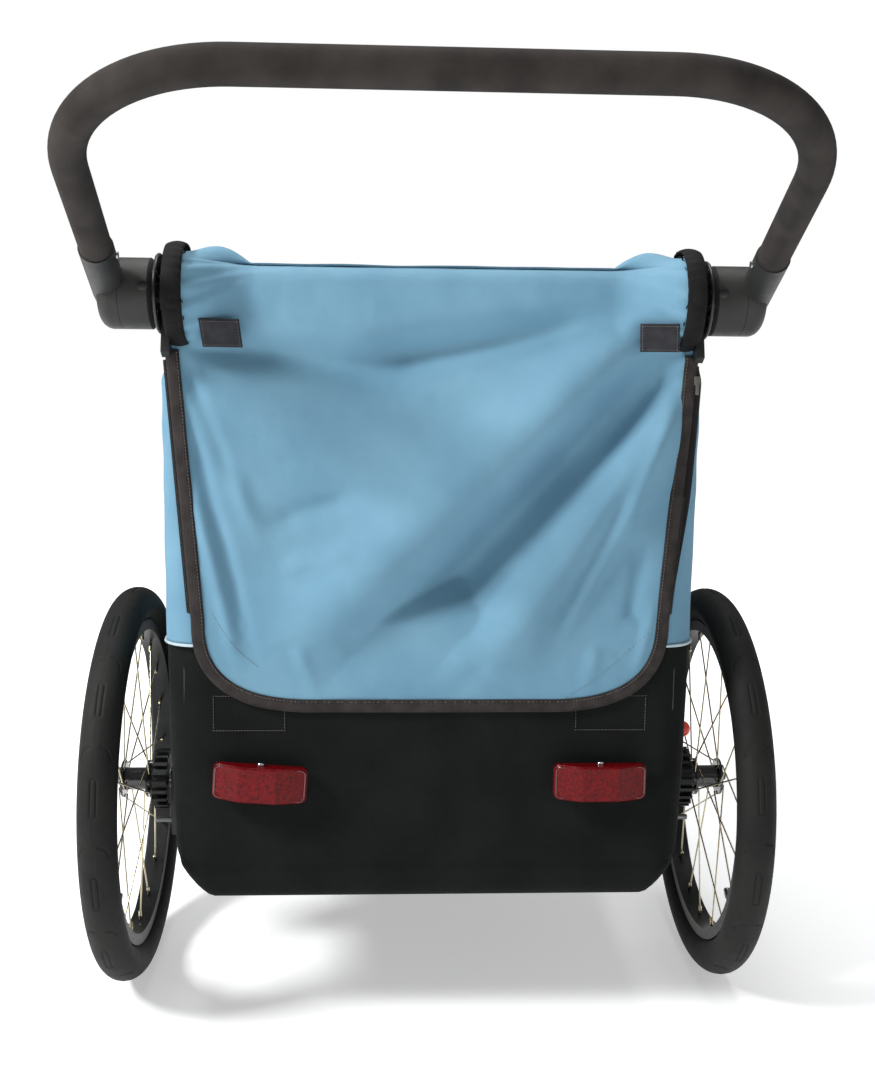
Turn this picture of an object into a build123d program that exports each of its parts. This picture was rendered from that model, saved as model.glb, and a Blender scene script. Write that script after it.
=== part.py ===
"""Child bicycle trailer with a stroller handlebar, seen from behind along +Y.

Millimetres, +X to the right seen from behind, +Y in the direction of travel, +Z up, ground at z = 0.
The model is made with the wheel axle at y = 0 and moved by SHIFT_Y at export,
so that the origin is the middle of the whole box on the ground.
"""
from build123d import *
from math import cos, radians, sin
import os

# ---- wheels ----
WHEEL_R = 250.0            # 20-inch wheel with a 47 mm tyre
TYRE_SECTION_R = 22.25
HALF_TRACK = 374.5         # wheel's middle plane
SPOKE_COUNT = 20
SPOKE_R = 1.0
SPOKE_GAP = 0.5            # spoke to flange, as it leans in
SPOKE_SWEEP = 58.0         # degrees between a spoke's hub hole and its rim hole
FLANGE_R = 24.0
FLANGE_T = 3.0
FLANGE_SPACING = 35.0      # outside to outside
HUB_BARREL_R = 14.5
BRAKE_RING_R = 39.0        # over the teeth
BRAKE_RING_W = 18.0
BRAKE_TEETH = 20
BRAKE_TOOTH_W = 4.0
BRAKE_TOOTH_H = 7.0
AXLE_R = 6.0
AXLE_HEAD_R = 9.0
AXLE_HEAD_T = 4.0
CAP_R = 5.0
CAP_TRAVEL = 3.5

# ---- tub and body ----
TUB_BOTTOM_Z = 167.0
SEAM_Z = 470.0             # top of the tub at the back and over the wheels
TUB_HALF_BOTTOM = 294.0
TUB_HALF_TOP = 303.0
TUB_CORNER_R = 60.0
TUB_WALL = 4.0
REAR_Y = -205.0
NOSE_Y = 545.0
NOSE_Z = 330.0             # top of the tub at the nose
SEAM_BEND_Y = 120.0        # where the tub's side starts to fall to the nose
REAR_EDGE_R = 25.0
NOSE_EDGE_R = 45.0
PANEL_EDGE_X = 240.0       # seam between side panels and the middle panels
COVER_T = 2.5
COVER_GAP = 0.4
ROOF_Z = 892.0
ROOF_FRONT_Y = 57.0

# ---- frame ----
TUBE_R = 11.0
TUBE_WALL = 1.6
FRAME_HALF = 262.0         # middle of the side tubes
FLOOR_TUBE_Z = 200.0
POST_Y = -185.0
FRONT_TUBE_Y = 505.0
FRAME_BEND_R = 60.0
FOLD_Z = 440.0             # rear fold hinge
TOP_BAR_Z = ROOF_Z - 26.0
TOP_BEND_R = 32.0
AXLE_TUBE_R = 12.0
HOOP_TUBE_R = 10.0
HOOP_HALF = 231.0
HOOP_HINGE_Y = 500.0
HOOP_HINGE_Z = 420.0
HOOP_TOP_Y = 50.0
HOOP_TOP_Z = ROOF_Z - 18.0
HOOP_BEND_R = 50.0
PIN_R = 4.0                # fold hinge pins
EYE_STEP = 0.5             # hinge eye over its tube's radius
SEAT_TUBE_R = 9.0
SEAT_TUBE_Y = 150.0
SEAT_Z = 400.0             # top of the seat cushion
SEAT_BACK_Y = -50.0        # where cushion and seat back meet

# ---- handlebar ----
HUB_Y = -200.0
HUB_Z = TOP_BAR_Z - 9.0
HUB_R = 38.0
HUB_NECK_R = 20.0
HUB_INNER_X = 300.0
HUB_SPLIT_X = 336.0        # fixed hub inside, elbow outside
ELBOW_OUTER_X = 360.0
SPINDLE_R = 10.0
BAR_LEAN = 23.0            # degrees above level, leaning back
BAR_REACH = 392.0          # hub axis to the crossbar's middle
BAR_HALF_HUB = 350.0       # half-width at the hubs
BAR_HALF_TOP = 327.0
BAR_CORNER_R = 160.0
BAR_TUBE_R = 11.0
FOAM_R = 16.5
SOCKET_R = 18.0
SOCKET_END = 100.0
BUTTON_R = 12.0
BUTTON_TRAVEL = 3.0

# ---- small parts ----
REFLECTOR_X = 193.0
REFLECTOR_Z = 316.0
REFLECTOR_W = 106.0
REFLECTOR_H = 41.0
REFLECTOR_DEPTH = 24.0
REFLECTOR_LEAN = 4.0       # degrees that the left one has slipped round
LOCK_PIN_R = 3.5
LOCK_PIN_DROP = 56.0       # below the axle when free
LOCK_TRAVEL = 16.0
KNOB_R = 10.5
KNOB_Z = WHEEL_R + 65.0
LEVER_Z = WHEEL_R + 30.0
CASTER_R = 63.5
CASTER_W = 30.0
CASTER_Y = 480.0
CASTER_TRAIL = 35.0
STEM_R = 8.0
TOW_PIN_Y = 580.0
TOW_PIN_R = 5.0
TOW_Z = 235.0
TOW_TUBE_R = 13.0
TOW_EYE_HALF = 16.0
TOW_EAR = 6.0              # thickness of the clevis's ears
TOW_LENGTH = 560.0         # pin to the hitch head's bore
HITCH_BORE_R = 6.2

# ---- clearances ----
RUN = 0.05                 # radial, shaft in hole
SEAT = 0.1                 # parts of one body that touch
SOFT = 0.4                 # cloth and pads to their neighbours

REAR_REACH = HUB_Y - BAR_REACH * cos(radians(BAR_LEAN)) - FOAM_R
TOW_EYE_R = 16.0
FRONT_REACH = TOW_PIN_Y + TOW_EYE_R
SHIFT_Y = -(REAR_REACH + FRONT_REACH) / 2

nodes = {}


def block(x0, x1, y0, y1, z0, z1):
    """Box between two corners."""
    middle = Pos((x0 + x1) / 2, (y0 + y1) / 2, (z0 + z1) / 2)
    return middle * Box(abs(x1 - x0), abs(y1 - y0), abs(z1 - z0))


def rod_x(radius, x0, x1, y, z):
    """Round bar along X."""
    return Pos((x0 + x1) / 2, y, z) * Rot(0, 90, 0) * Cylinder(radius, abs(x1 - x0))


def rod_y(radius, y0, y1, x, z):
    """Round bar along Y."""
    return Pos(x, (y0 + y1) / 2, z) * Rot(90, 0, 0) * Cylinder(radius, abs(y1 - y0))


def rod_z(radius, z0, z1, x, y):
    """Round bar along Z."""
    return Pos(x, y, (z0 + z1) / 2) * Cylinder(radius, abs(z1 - z0))


def bent_tube(points, bend, radius, wall):
    """Hollow tube through the points, with equal bends; wall 0 makes it solid."""
    path = FilletPolyline(*points, radius=bend)
    section = Circle(radius)
    if wall:
        section = section - Circle(radius - wall)
    return sweep((path ^ 0) * section, path=path)


def plate_yz(points, x0, x1, corner=0):
    """Flat plate with a side outline in Y and Z, between two X values."""
    outline = Plane.YZ * make_face(Polyline(*points, close=True))
    if corner:
        outline = fillet(outline.vertices(), corner)
    return Pos(x0, 0, 0) * extrude(outline, x1 - x0, dir=(1, 0, 0))


def plate_xz(points, y0, y1):
    """Flat plate with an outline in X and Z, between two Y values."""
    face = make_face(Polyline(*[(x, y0, z) for x, z in points], close=True))
    return extrude(face, y1 - y0, dir=(0, 1, 0))


def other_side(shape):
    """The same piece on the left, X turned over."""
    return mirror(shape, about=Plane.YZ)


def pair(name, right):
    """Right and left pieces as two nodes."""
    nodes[name + "_right"] = right
    nodes[name + "_left"] = other_side(right)


def both(right):
    """Right and left pieces as one group."""
    return Compound(children=[*solids_of(right), *solids_of(other_side(right))])


def solids_of(shape):
    """Plain solids of any shape."""
    return [Solid(s.wrapped) for s in shape.solids()]


def bar_point(x, reach):
    """Point in the handlebar's plane, given its distance from the hub axis."""
    return (x, HUB_Y - reach * cos(radians(BAR_LEAN)), HUB_Z + reach * sin(radians(BAR_LEAN)))


def along_arm(radius, start, end):
    """Round bar along the right handlebar arm, between two distances from the hub axis."""
    bottom = Vector(*bar_point(BAR_HALF_HUB - arm_taper(start), start))
    top = Vector(*bar_point(BAR_HALF_HUB - arm_taper(end), end))
    plane = Plane(origin=bottom, z_dir=top - bottom)
    return plane * Pos(0, 0, (top - bottom).length / 2) * Cylinder(radius, (top - bottom).length)


def arm_taper(reach):
    """How far an arm has leaned in at a distance from the hub axis."""
    return (BAR_HALF_HUB - BAR_HALF_TOP) * reach / BAR_REACH


# ---- wheels, built on the right ----
def make_wheel():
    """Tyre, rim, spokes, hub and toothed brake ring, all about the axle."""
    seat_r = WHEEL_R - 2 * TYRE_SECTION_R - 0.5
    foot_half = 10.2
    wheel_at = Pos(HALF_TRACK, 0, WHEEL_R) * Rot(0, 90, 0)
    section_at = WHEEL_R - TYRE_SECTION_R
    tyre_face = Pos(section_at, 0) * Circle(TYRE_SECTION_R)
    tyre_face += Pos(seat_r + 5, 0) * Rectangle(10, 2 * foot_half)
    tyre = revolve(Plane.XZ * tyre_face, Axis.Z)
    rim_outer = seat_r + 2.5
    rim_inner = seat_r - 11
    rim_face = Pos((rim_outer + rim_inner) / 2, 0) * Rectangle(rim_outer - rim_inner, 26)
    rim_face -= Pos(seat_r + 5, 0) * Rectangle(10 + 2 * SEAT, 2 * (foot_half + SEAT))
    rim = revolve(Plane.XZ * rim_face, Axis.Z)
    pair("tyre", wheel_at * tyre)
    pair("rim", wheel_at * rim)

    outer_x = HALF_TRACK + FLANGE_SPACING / 2
    inner_x = HALF_TRACK - FLANGE_SPACING / 2
    ring_outer_x = inner_x - 8
    ring_inner_x = ring_outer_x - BRAKE_RING_W
    spigot_r = 12.0
    hub = rod_x(HUB_BARREL_R, inner_x, outer_x, 0, WHEEL_R)
    hub += rod_x(FLANGE_R, inner_x, inner_x + FLANGE_T, 0, WHEEL_R)
    hub += rod_x(FLANGE_R, outer_x - FLANGE_T, outer_x, 0, WHEEL_R)
    hub += rod_x(FLANGE_R - 4, ring_outer_x, inner_x, 0, WHEEL_R)
    hub += rod_x(spigot_r, ring_inner_x, inner_x, 0, WHEEL_R)
    hub -= rod_x(AXLE_R + RUN, ring_inner_x - 1, outer_x + 1, 0, WHEEL_R)
    pair("hub", hub)

    ring = rod_x(BRAKE_RING_R - BRAKE_TOOTH_H, ring_inner_x, ring_outer_x, 0, WHEEL_R)
    tooth_from = BRAKE_RING_R - BRAKE_TOOTH_H - 2
    for index in range(BRAKE_TEETH):
        turn = Pos(0, 0, WHEEL_R) * Rot((index + 0.5) * 360 / BRAKE_TEETH, 0, 0)
        ring += turn * block(ring_inner_x, ring_outer_x, -BRAKE_TOOTH_W / 2, BRAKE_TOOTH_W / 2,
                             tooth_from, BRAKE_RING_R)
    ring -= rod_x(spigot_r + SEAT / 2, ring_inner_x - 1, ring_outer_x + 1, 0, WHEEL_R)
    pair("brake_ring", ring)

    spokes = []
    hole_r = FLANGE_R - 2.5
    side_step = FLANGE_T / 2 + SPOKE_R + SPOKE_GAP
    for index in range(SPOKE_COUNT):
        rim_turn = index * 360 / SPOKE_COUNT
        flange_x = outer_x - FLANGE_T / 2 if index % 2 else inner_x + FLANGE_T / 2
        way = 1 if (index // 2) % 2 else -1
        start = Vector(flange_x + way * side_step, 0, 0) + around_x(hole_r, rim_turn + way * SPOKE_SWEEP)
        end = Vector(HALF_TRACK, 0, 0) + around_x(rim_inner - 0.3, rim_turn)
        length = (end - start).length
        plane = Plane(origin=start + Vector(0, 0, WHEEL_R), z_dir=end - start)
        spokes.append(plane * Pos(0, 0, length / 2) * Cylinder(SPOKE_R, length))
    right = Compound(children=[Solid(s.solid().wrapped) for s in spokes])
    nodes["spokes_right"] = right
    nodes["spokes_left"] = Compound(children=[Solid(other_side(s).solid().wrapped) for s in spokes])

    head_x = outer_x + SEAT * 5
    tip_x = head_x + AXLE_HEAD_T
    axle = rod_x(AXLE_R, HUB_INNER_X - 7, head_x, 0, WHEEL_R)
    axle += rod_x(AXLE_HEAD_R, head_x, tip_x, 0, WHEEL_R)
    pocket_x = head_x - 4
    axle -= rod_x(CAP_R + RUN, pocket_x, tip_x + 1, 0, WHEEL_R)
    pair("wheel_axle", axle)
    cap_x = pocket_x + CAP_TRAVEL + 0.5
    cap = rod_x(CAP_R, cap_x, tip_x + CAP_TRAVEL + 0.5, 0, WHEEL_R)
    pair("release_cap", chamfer(cap.edges().filter_by(GeomType.CIRCLE).sort_by(Axis.X)[-1], 0.8))
    return ring_inner_x


def around_x(radius, degrees):
    """Point on a circle about the X axis, 0 at the top."""
    return Vector(0, radius * sin(radians(degrees)), radius * cos(radians(degrees)))


# ---- fabric tub ----
def tub_body(inset, lift):
    """Outer shape of the tub, drawn in by inset all round, its open top raised by lift."""
    half_top = TUB_HALF_TOP - inset
    half_low = TUB_HALF_BOTTOM - inset
    bottom = TUB_BOTTOM_Z + inset
    across = make_face(Polyline((-half_top, 0, SEAM_Z + lift), (-half_low, 0, bottom),
                                (half_low, 0, bottom), (half_top, 0, SEAM_Z + lift), close=True))
    low = across.vertices().sort_by(Axis.Z)[:2]
    across = fillet(low, TUB_CORNER_R - inset)
    across_body = extrude(Pos(0, REAR_Y - 5, 0) * across, NOSE_Y - REAR_Y + 10, dir=(0, 1, 0))
    rear = REAR_Y + inset
    nose = NOSE_Y - inset
    side = make_face(Polyline((0, rear, bottom), (0, nose, bottom), (0, nose, NOSE_Z + lift),
                              (0, SEAM_BEND_Y, SEAM_Z + lift), (0, rear, SEAM_Z + lift), close=True))
    corners = side.vertices().group_by(Axis.Z)[0].sort_by(Axis.Y)
    side = fillet(corners[0], REAR_EDGE_R - inset)
    side = fillet(side.vertices().group_by(Axis.Z)[0].sort_by(Axis.Y)[-1], NOSE_EDGE_R - inset)
    side_body = extrude(Pos(-TUB_HALF_TOP - 5, 0, 0) * side, 2 * TUB_HALF_TOP + 10, dir=(1, 0, 0))
    return across_body & side_body


def make_tub(openings):
    """Tub cut into its sewn panels: two sides, back, nose and floor."""
    shell = tub_body(0, 0) - tub_body(TUB_WALL, 20)
    for hole in openings:
        shell -= hole
    far = 1000
    middle = block(-PANEL_EDGE_X, PANEL_EDGE_X, -far, far, 0, far)
    rear_edge = REAR_Y + REAR_EDGE_R
    nose_edge = NOSE_Y - NOSE_EDGE_R
    nodes["tub_side_right"] = shell & block(PANEL_EDGE_X, far, -far, far, 0, far)
    nodes["tub_side_left"] = shell & block(-far, -PANEL_EDGE_X, -far, far, 0, far)
    nodes["tub_back"] = shell & middle & block(-far, far, -far, rear_edge, 0, far)
    nodes["tub_nose"] = shell & middle & block(-far, far, nose_edge, far, 0, far)
    nodes["tub_floor"] = shell & middle & block(-far, far, rear_edge, nose_edge, 0, far)


# ---- fixed frame inside the tub ----
def make_chassis():
    """Side frames, cross tubes, axle tube, hinge clevises and hoop brackets."""
    clevis_top = FOLD_Z - 16
    rail = bent_tube([(FRAME_HALF, FRONT_TUBE_Y, FLOOR_TUBE_Z), (FRAME_HALF, POST_Y, FLOOR_TUBE_Z),
                      (FRAME_HALF, POST_Y, clevis_top)], FRAME_BEND_R, TUBE_R, TUBE_WALL)
    reach = FRAME_HALF + TUBE_R
    front_void = rod_x(TUBE_R + SEAT, -reach - 1, reach + 1, FRONT_TUBE_Y, FLOOR_TUBE_Z)
    pair("side_frame", rail - front_void)
    rear_y = POST_Y + FRAME_BEND_R + 20
    front = rod_x(TUBE_R, -reach, reach, FRONT_TUBE_Y, FLOOR_TUBE_Z)
    front -= rod_x(TUBE_R - TUBE_WALL, -reach - 1, reach + 1, FRONT_TUBE_Y, FLOOR_TUBE_Z)
    rear = rod_x(TUBE_R, -FRAME_HALF, FRAME_HALF, rear_y, FLOOR_TUBE_Z)
    rear -= rod_x(TUBE_R - TUBE_WALL, -reach, reach, rear_y, FLOOR_TUBE_Z)
    for x in (-FRAME_HALF, FRAME_HALF):
        rear -= rod_y(TUBE_R + SEAT, rear_y - 30, rear_y + 30, x, FLOOR_TUBE_Z)
    rear = rear.solids().sort_by(SortBy.VOLUME)[-1]
    nodes["floor_cross_tubes"] = Compound(children=[*solids_of(front), *solids_of(rear)])

    axle_half = FRAME_HALF + 12
    axle = rod_x(AXLE_TUBE_R, -axle_half, axle_half, 0, WHEEL_R)
    nodes["axle_tube"] = axle - rod_x(AXLE_TUBE_R - 2, -axle_half - 1, axle_half + 1, 0, WHEEL_R)

    ear = 5.0
    half = TUBE_R + 2
    clevis = block(FRAME_HALF - half - ear, FRAME_HALF + half + ear, POST_Y - half, POST_Y + half,
                   clevis_top - 30, clevis_top)
    for x in (FRAME_HALF - half - ear, FRAME_HALF + half):
        clevis += block(x, x + ear, POST_Y - half, POST_Y + half, clevis_top, FOLD_Z)
        clevis += rod_x(half, x, x + ear, POST_Y, FOLD_Z)
    clevis -= rod_z(TUBE_R + SEAT, clevis_top - 31, clevis_top + 1, FRAME_HALF, POST_Y)
    clevis -= rod_x(PIN_R + SEAT / 4, FRAME_HALF - 40, FRAME_HALF + 40, POST_Y, FOLD_Z)
    nodes["fold_clevises"] = both(clevis)

    plate_in = HOOP_HALF + HOOP_TUBE_R + 4
    plate_out = plate_in + 12
    bracket = block(plate_in, plate_out, HOOP_HINGE_Y - 14, HOOP_HINGE_Y + 14,
                    FLOOR_TUBE_Z + TUBE_R + SEAT, HOOP_HINGE_Z)
    bracket += rod_x(14, plate_in, plate_out, HOOP_HINGE_Y, HOOP_HINGE_Z)
    bracket -= rod_x(PIN_R + SEAT / 4, plate_in - 1, plate_out + 1, HOOP_HINGE_Y, HOOP_HINGE_Z)
    nodes["hoop_brackets"] = both(bracket)

    pin_reach = half + ear + 1.5
    fold_pin = rod_x(PIN_R, FRAME_HALF - pin_reach, FRAME_HALF + pin_reach, POST_Y, FOLD_Z)
    hoop_pin = rod_x(PIN_R, HOOP_HALF - HOOP_TUBE_R - 2.5, plate_out + 1.5, HOOP_HINGE_Y, HOOP_HINGE_Z)
    tow_reach = TOW_EYE_HALF + TOW_EAR + 3.5
    tow_pin = rod_z(TOW_PIN_R, TOW_Z - tow_reach, TOW_Z + tow_reach, -FRAME_HALF, TOW_PIN_Y)
    pins = [*solids_of(fold_pin), *solids_of(hoop_pin), *solids_of(tow_pin)]
    pins += [*solids_of(other_side(fold_pin)), *solids_of(other_side(hoop_pin))]
    nodes["hinge_pins"] = Compound(children=pins)

    seat_z = SEAT_Z - 72
    seat = bent_tube([(-FRAME_HALF, SEAT_TUBE_Y, FLOOR_TUBE_Z), (-FRAME_HALF, SEAT_TUBE_Y, seat_z),
                      (FRAME_HALF, SEAT_TUBE_Y, seat_z), (FRAME_HALF, SEAT_TUBE_Y, FLOOR_TUBE_Z)],
                     35, SEAT_TUBE_R, TUBE_WALL)
    for x in (-FRAME_HALF, FRAME_HALF):
        seat -= rod_y(TUBE_R + SEAT, SEAT_TUBE_Y - 20, SEAT_TUBE_Y + 20, x, FLOOR_TUBE_Z)
        seat -= block(x - 15, x + 15, SEAT_TUBE_Y - 20, SEAT_TUBE_Y + 20, 0, FLOOR_TUBE_Z)
    nodes["seat_tube"] = seat
    pad_bottom = seat_z + SEAT_TUBE_R + SOFT
    pad = block(-235, 235, SEAT_BACK_Y, SEAT_TUBE_Y + 15, pad_bottom, SEAT_Z)
    nodes["seat_bench"] = fillet(pad.edges(), 14)


def make_receivers(ring_inner_x):
    """Castings that hold the wheel axles, the axle tube and the parking-brake pins."""
    inner_x = FRAME_HALF - TUBE_R - 3
    outer_x = ring_inner_x - 3
    half_y = AXLE_TUBE_R + 6
    low_z = min(WHEEL_R - LOCK_PIN_DROP - 16, FLOOR_TUBE_Z - TUBE_R - 11)
    casting = block(inner_x, outer_x, -half_y, half_y, low_z, WHEEL_R + half_y)
    casting = fillet(casting.edges().filter_by(Axis.X), 8)
    casting -= rod_y(TUBE_R + SEAT, -half_y - 1, half_y + 1, FRAME_HALF, FLOOR_TUBE_Z)
    casting -= rod_x(AXLE_TUBE_R + SEAT, inner_x - 1, FRAME_HALF + 12 + SEAT, 0, WHEEL_R)
    casting -= rod_x(AXLE_R + SEAT / 4, HUB_INNER_X - 8, outer_x + 1, 0, WHEEL_R)
    pin_z = WHEEL_R - LOCK_PIN_DROP
    slot_in = outer_x - 22
    slot_out = outer_x - 12
    slot_low = pin_z - 8 - SEAT
    slot_high = pin_z + 8 + LOCK_TRAVEL + SEAT
    casting -= block(slot_in - SEAT, slot_out + SEAT, -5 - SEAT, 5 + SEAT, slot_low, slot_high)
    pin_half = LOCK_PIN_R + SEAT
    casting -= block(slot_out, outer_x + 1, -pin_half, pin_half, pin_z, pin_z + LOCK_TRAVEL)
    casting -= rod_x(pin_half, slot_out, outer_x + 1, 0, pin_z)
    casting -= rod_x(pin_half, slot_out, outer_x + 1, 0, pin_z + LOCK_TRAVEL)
    ear = block(HUB_INNER_X, outer_x - 10, -8, 8, WHEEL_R + half_y - 2, LEVER_Z)
    ear += rod_x(8, HUB_INNER_X, outer_x - 10, 0, LEVER_Z)
    ear += rod_x(3, outer_x - 10, outer_x - 0.5, 0, LEVER_Z)
    castings = [*solids_of(casting + ear), *solids_of(other_side(casting))]
    nodes["axle_receivers"] = Compound(children=castings)

    slider = block(slot_in, slot_out, -5, 5, pin_z - 8, pin_z + 8)
    slider += rod_x(LOCK_PIN_R, slot_out - 1, ring_inner_x + BRAKE_RING_W + 2, 0, pin_z)
    pair("lock_pin", slider)

    lever_in = outer_x - 10 + 1
    lever_out = lever_in + 6
    lever = rod_x(8, lever_in, lever_out, 0, LEVER_Z)
    lever += block(lever_in, lever_out, -5, 5, LEVER_Z, KNOB_Z)
    lever += rod_x(5, lever_in, lever_out, 0, KNOB_Z)
    lever -= rod_x(3 + RUN, lever_in - 1, lever_out + 1, 0, LEVER_Z)
    lever += rod_x(3, lever_out - 1, lever_out + 9, 0, KNOB_Z)
    nodes["brake_lever"] = lever
    knob_x = lever_out + KNOB_R + 5
    knob = Pos(knob_x, 0, KNOB_Z) * Sphere(KNOB_R)
    knob &= block(knob_x - 7, knob_x + KNOB_R, -KNOB_R, KNOB_R, KNOB_Z - KNOB_R, KNOB_Z + KNOB_R)
    knob -= rod_x(3 + SEAT / 2, knob_x - 9, lever_out + 9 + SEAT, 0, KNOB_Z)
    nodes["brake_knob"] = knob
    hole = block(PANEL_EDGE_X, 400, -half_y - 1, half_y + 1, low_z - 1, WHEEL_R + half_y + 1)
    return [hole, other_side(hole)]


# ---- folding frames ----
def make_rear_frame():
    """Inverted U hinged at the clevises, with a hub casting on each top corner."""
    points = [(-FRAME_HALF, POST_Y, FOLD_Z), (-FRAME_HALF, POST_Y, TOP_BAR_Z),
              (FRAME_HALF, POST_Y, TOP_BAR_Z), (FRAME_HALF, POST_Y, FOLD_Z)]
    frame = bent_tube(points, TOP_BEND_R, TUBE_R, TUBE_WALL)
    for x in (-FRAME_HALF, FRAME_HALF):
        frame += rod_x(TUBE_R + EYE_STEP, x - TUBE_R - 1, x + TUBE_R + 1, POST_Y, FOLD_Z)
    frame -= rod_x(PIN_R + RUN, -FRAME_HALF - 40, FRAME_HALF + 40, POST_Y, FOLD_Z)
    nodes["rear_frame_tube"] = frame

    clamp = block(FRAME_HALF - TUBE_R - 4, FRAME_HALF + TUBE_R + 4, POST_Y - TUBE_R - 3,
                  POST_Y + TUBE_R + 3, TOP_BAR_Z - 34, TOP_BAR_Z + TUBE_R + 3)
    clamp = fillet(clamp.edges().filter_by(Axis.X), 4)
    clamp -= bent_tube(points, TOP_BEND_R, TUBE_R + SEAT, 0)
    clamp = clamp.solids().sort_by(SortBy.VOLUME)[-1]
    face_x = FRAME_HALF + TUBE_R + 1
    neck = rod_x(HUB_NECK_R, face_x, HUB_INNER_X, HUB_Y, HUB_Z)
    neck += rod_x(HUB_NECK_R + 5, face_x, face_x + 6, HUB_Y, HUB_Z)
    barrel = rod_x(HUB_R, HUB_INNER_X, HUB_SPLIT_X, HUB_Y, HUB_Z)
    barrel = chamfer(barrel.edges().filter_by(GeomType.CIRCLE).sort_by(Axis.X)[0], 5)
    spindle = rod_x(SPINDLE_R, HUB_SPLIT_X - 1, HUB_SPLIT_X + 11.5, HUB_Y, HUB_Z)
    pair("hub_base", clamp + neck + barrel + spindle)

    latch_in = 284.0
    latch_out = 293.0
    latch = rod_x(HUB_NECK_R + 8, latch_in, latch_out, HUB_Y, HUB_Z)
    tail = [(HUB_Y - 17, HUB_Z - 18), (HUB_Y - 30, HUB_Z - 62), (HUB_Y - 20, HUB_Z - 68),
            (HUB_Y - 12, HUB_Z - 60), (HUB_Y - 4, HUB_Z - 24)]
    latch += plate_yz(tail, latch_in, latch_out)
    latch -= rod_x(HUB_NECK_R + RUN, latch_in - 1, latch_out + 1, HUB_Y, HUB_Z)
    pair("fold_latch", latch)


def make_front_hoop():
    """Narrower hoop that carries the roof's front edge and nests inside the rear frame."""
    points = [(-HOOP_HALF, HOOP_HINGE_Y, HOOP_HINGE_Z), (-HOOP_HALF, HOOP_TOP_Y, HOOP_TOP_Z),
              (HOOP_HALF, HOOP_TOP_Y, HOOP_TOP_Z), (HOOP_HALF, HOOP_HINGE_Y, HOOP_HINGE_Z)]
    hoop = bent_tube(points, HOOP_BEND_R, HOOP_TUBE_R, TUBE_WALL)
    for x in (-HOOP_HALF, HOOP_HALF):
        half_eye = HOOP_TUBE_R + 1
        hoop += rod_x(HOOP_TUBE_R + EYE_STEP, x - half_eye, x + half_eye, HOOP_HINGE_Y, HOOP_HINGE_Z)
    hoop -= rod_x(PIN_R + RUN, -HOOP_HALF - 40, HOOP_HALF + 40, HOOP_HINGE_Y, HOOP_HINGE_Z)
    nodes["front_hoop_tube"] = hoop


def make_handlebar():
    """U-shaped bar with its foam grip, elbows, screws and release buttons."""
    start = 55.0
    half_start = BAR_HALF_HUB - arm_taper(start)
    outline = [bar_point(-half_start, start), bar_point(-BAR_HALF_TOP, BAR_REACH),
               bar_point(BAR_HALF_TOP, BAR_REACH), bar_point(half_start, start)]
    nodes["handlebar_tube"] = bent_tube(outline, BAR_CORNER_R, BAR_TUBE_R, TUBE_WALL)
    foam_start = SOCKET_END + 0.5
    half_foam = BAR_HALF_HUB - arm_taper(foam_start)
    grip = [bar_point(-half_foam, foam_start), bar_point(-BAR_HALF_TOP, BAR_REACH),
            bar_point(BAR_HALF_TOP, BAR_REACH), bar_point(half_foam, foam_start)]
    foam = bent_tube(grip, BAR_CORNER_R, FOAM_R, 0)
    _, bar_y, bar_z = bar_point(0, BAR_REACH)
    hold = BAR_HALF_TOP - BAR_CORNER_R - 7
    foam -= block(-hold, hold, bar_y - 30, bar_y + 30, bar_z - 30, bar_z + 30)
    foam += rod_x(FOAM_R, -hold, hold, bar_y, bar_z)
    nodes["foam_grip"] = foam - bent_tube(grip, BAR_CORNER_R, BAR_TUBE_R + SEAT, 0)

    inner_x = HUB_SPLIT_X + 0.4
    elbow = rod_x(HUB_R, inner_x, ELBOW_OUTER_X, HUB_Y, HUB_Z)
    elbow = fillet(elbow.edges().filter_by(GeomType.CIRCLE).sort_by(Axis.X)[-1], 14)
    arm = along_arm(SOCKET_R, 0, SOCKET_END)
    arm -= rod_x(HUB_R + 0.4, HUB_INNER_X, inner_x, HUB_Y, HUB_Z)
    elbow += arm
    elbow -= along_arm(BAR_TUBE_R + SEAT, start - 1, SOCKET_END + 5)
    elbow -= rod_x(SPINDLE_R + RUN, inner_x - 1, HUB_SPLIT_X + 12, HUB_Y, HUB_Z)
    pocket_x = HUB_SPLIT_X + 15
    elbow -= rod_x(BUTTON_R + RUN, pocket_x, ELBOW_OUTER_X + 20, HUB_Y, HUB_Z)
    pair("elbow", elbow)
    button_x = pocket_x + BUTTON_TRAVEL + 0.5
    button = rod_x(BUTTON_R, button_x, ELBOW_OUTER_X + BUTTON_TRAVEL + 0.5, HUB_Y, HUB_Z)
    pair("release_button", fillet(button.edges().filter_by(GeomType.CIRCLE).sort_by(Axis.X)[-1], 1.5))

    screw_at = 84.0
    x, y, z = bar_point(BAR_HALF_HUB - arm_taper(screw_at), screw_at)
    head = rod_x(3.6, x - SOCKET_R - 2.2, x - SOCKET_R - SOFT, y, z)
    nodes["elbow_screws"] = both(head)


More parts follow.
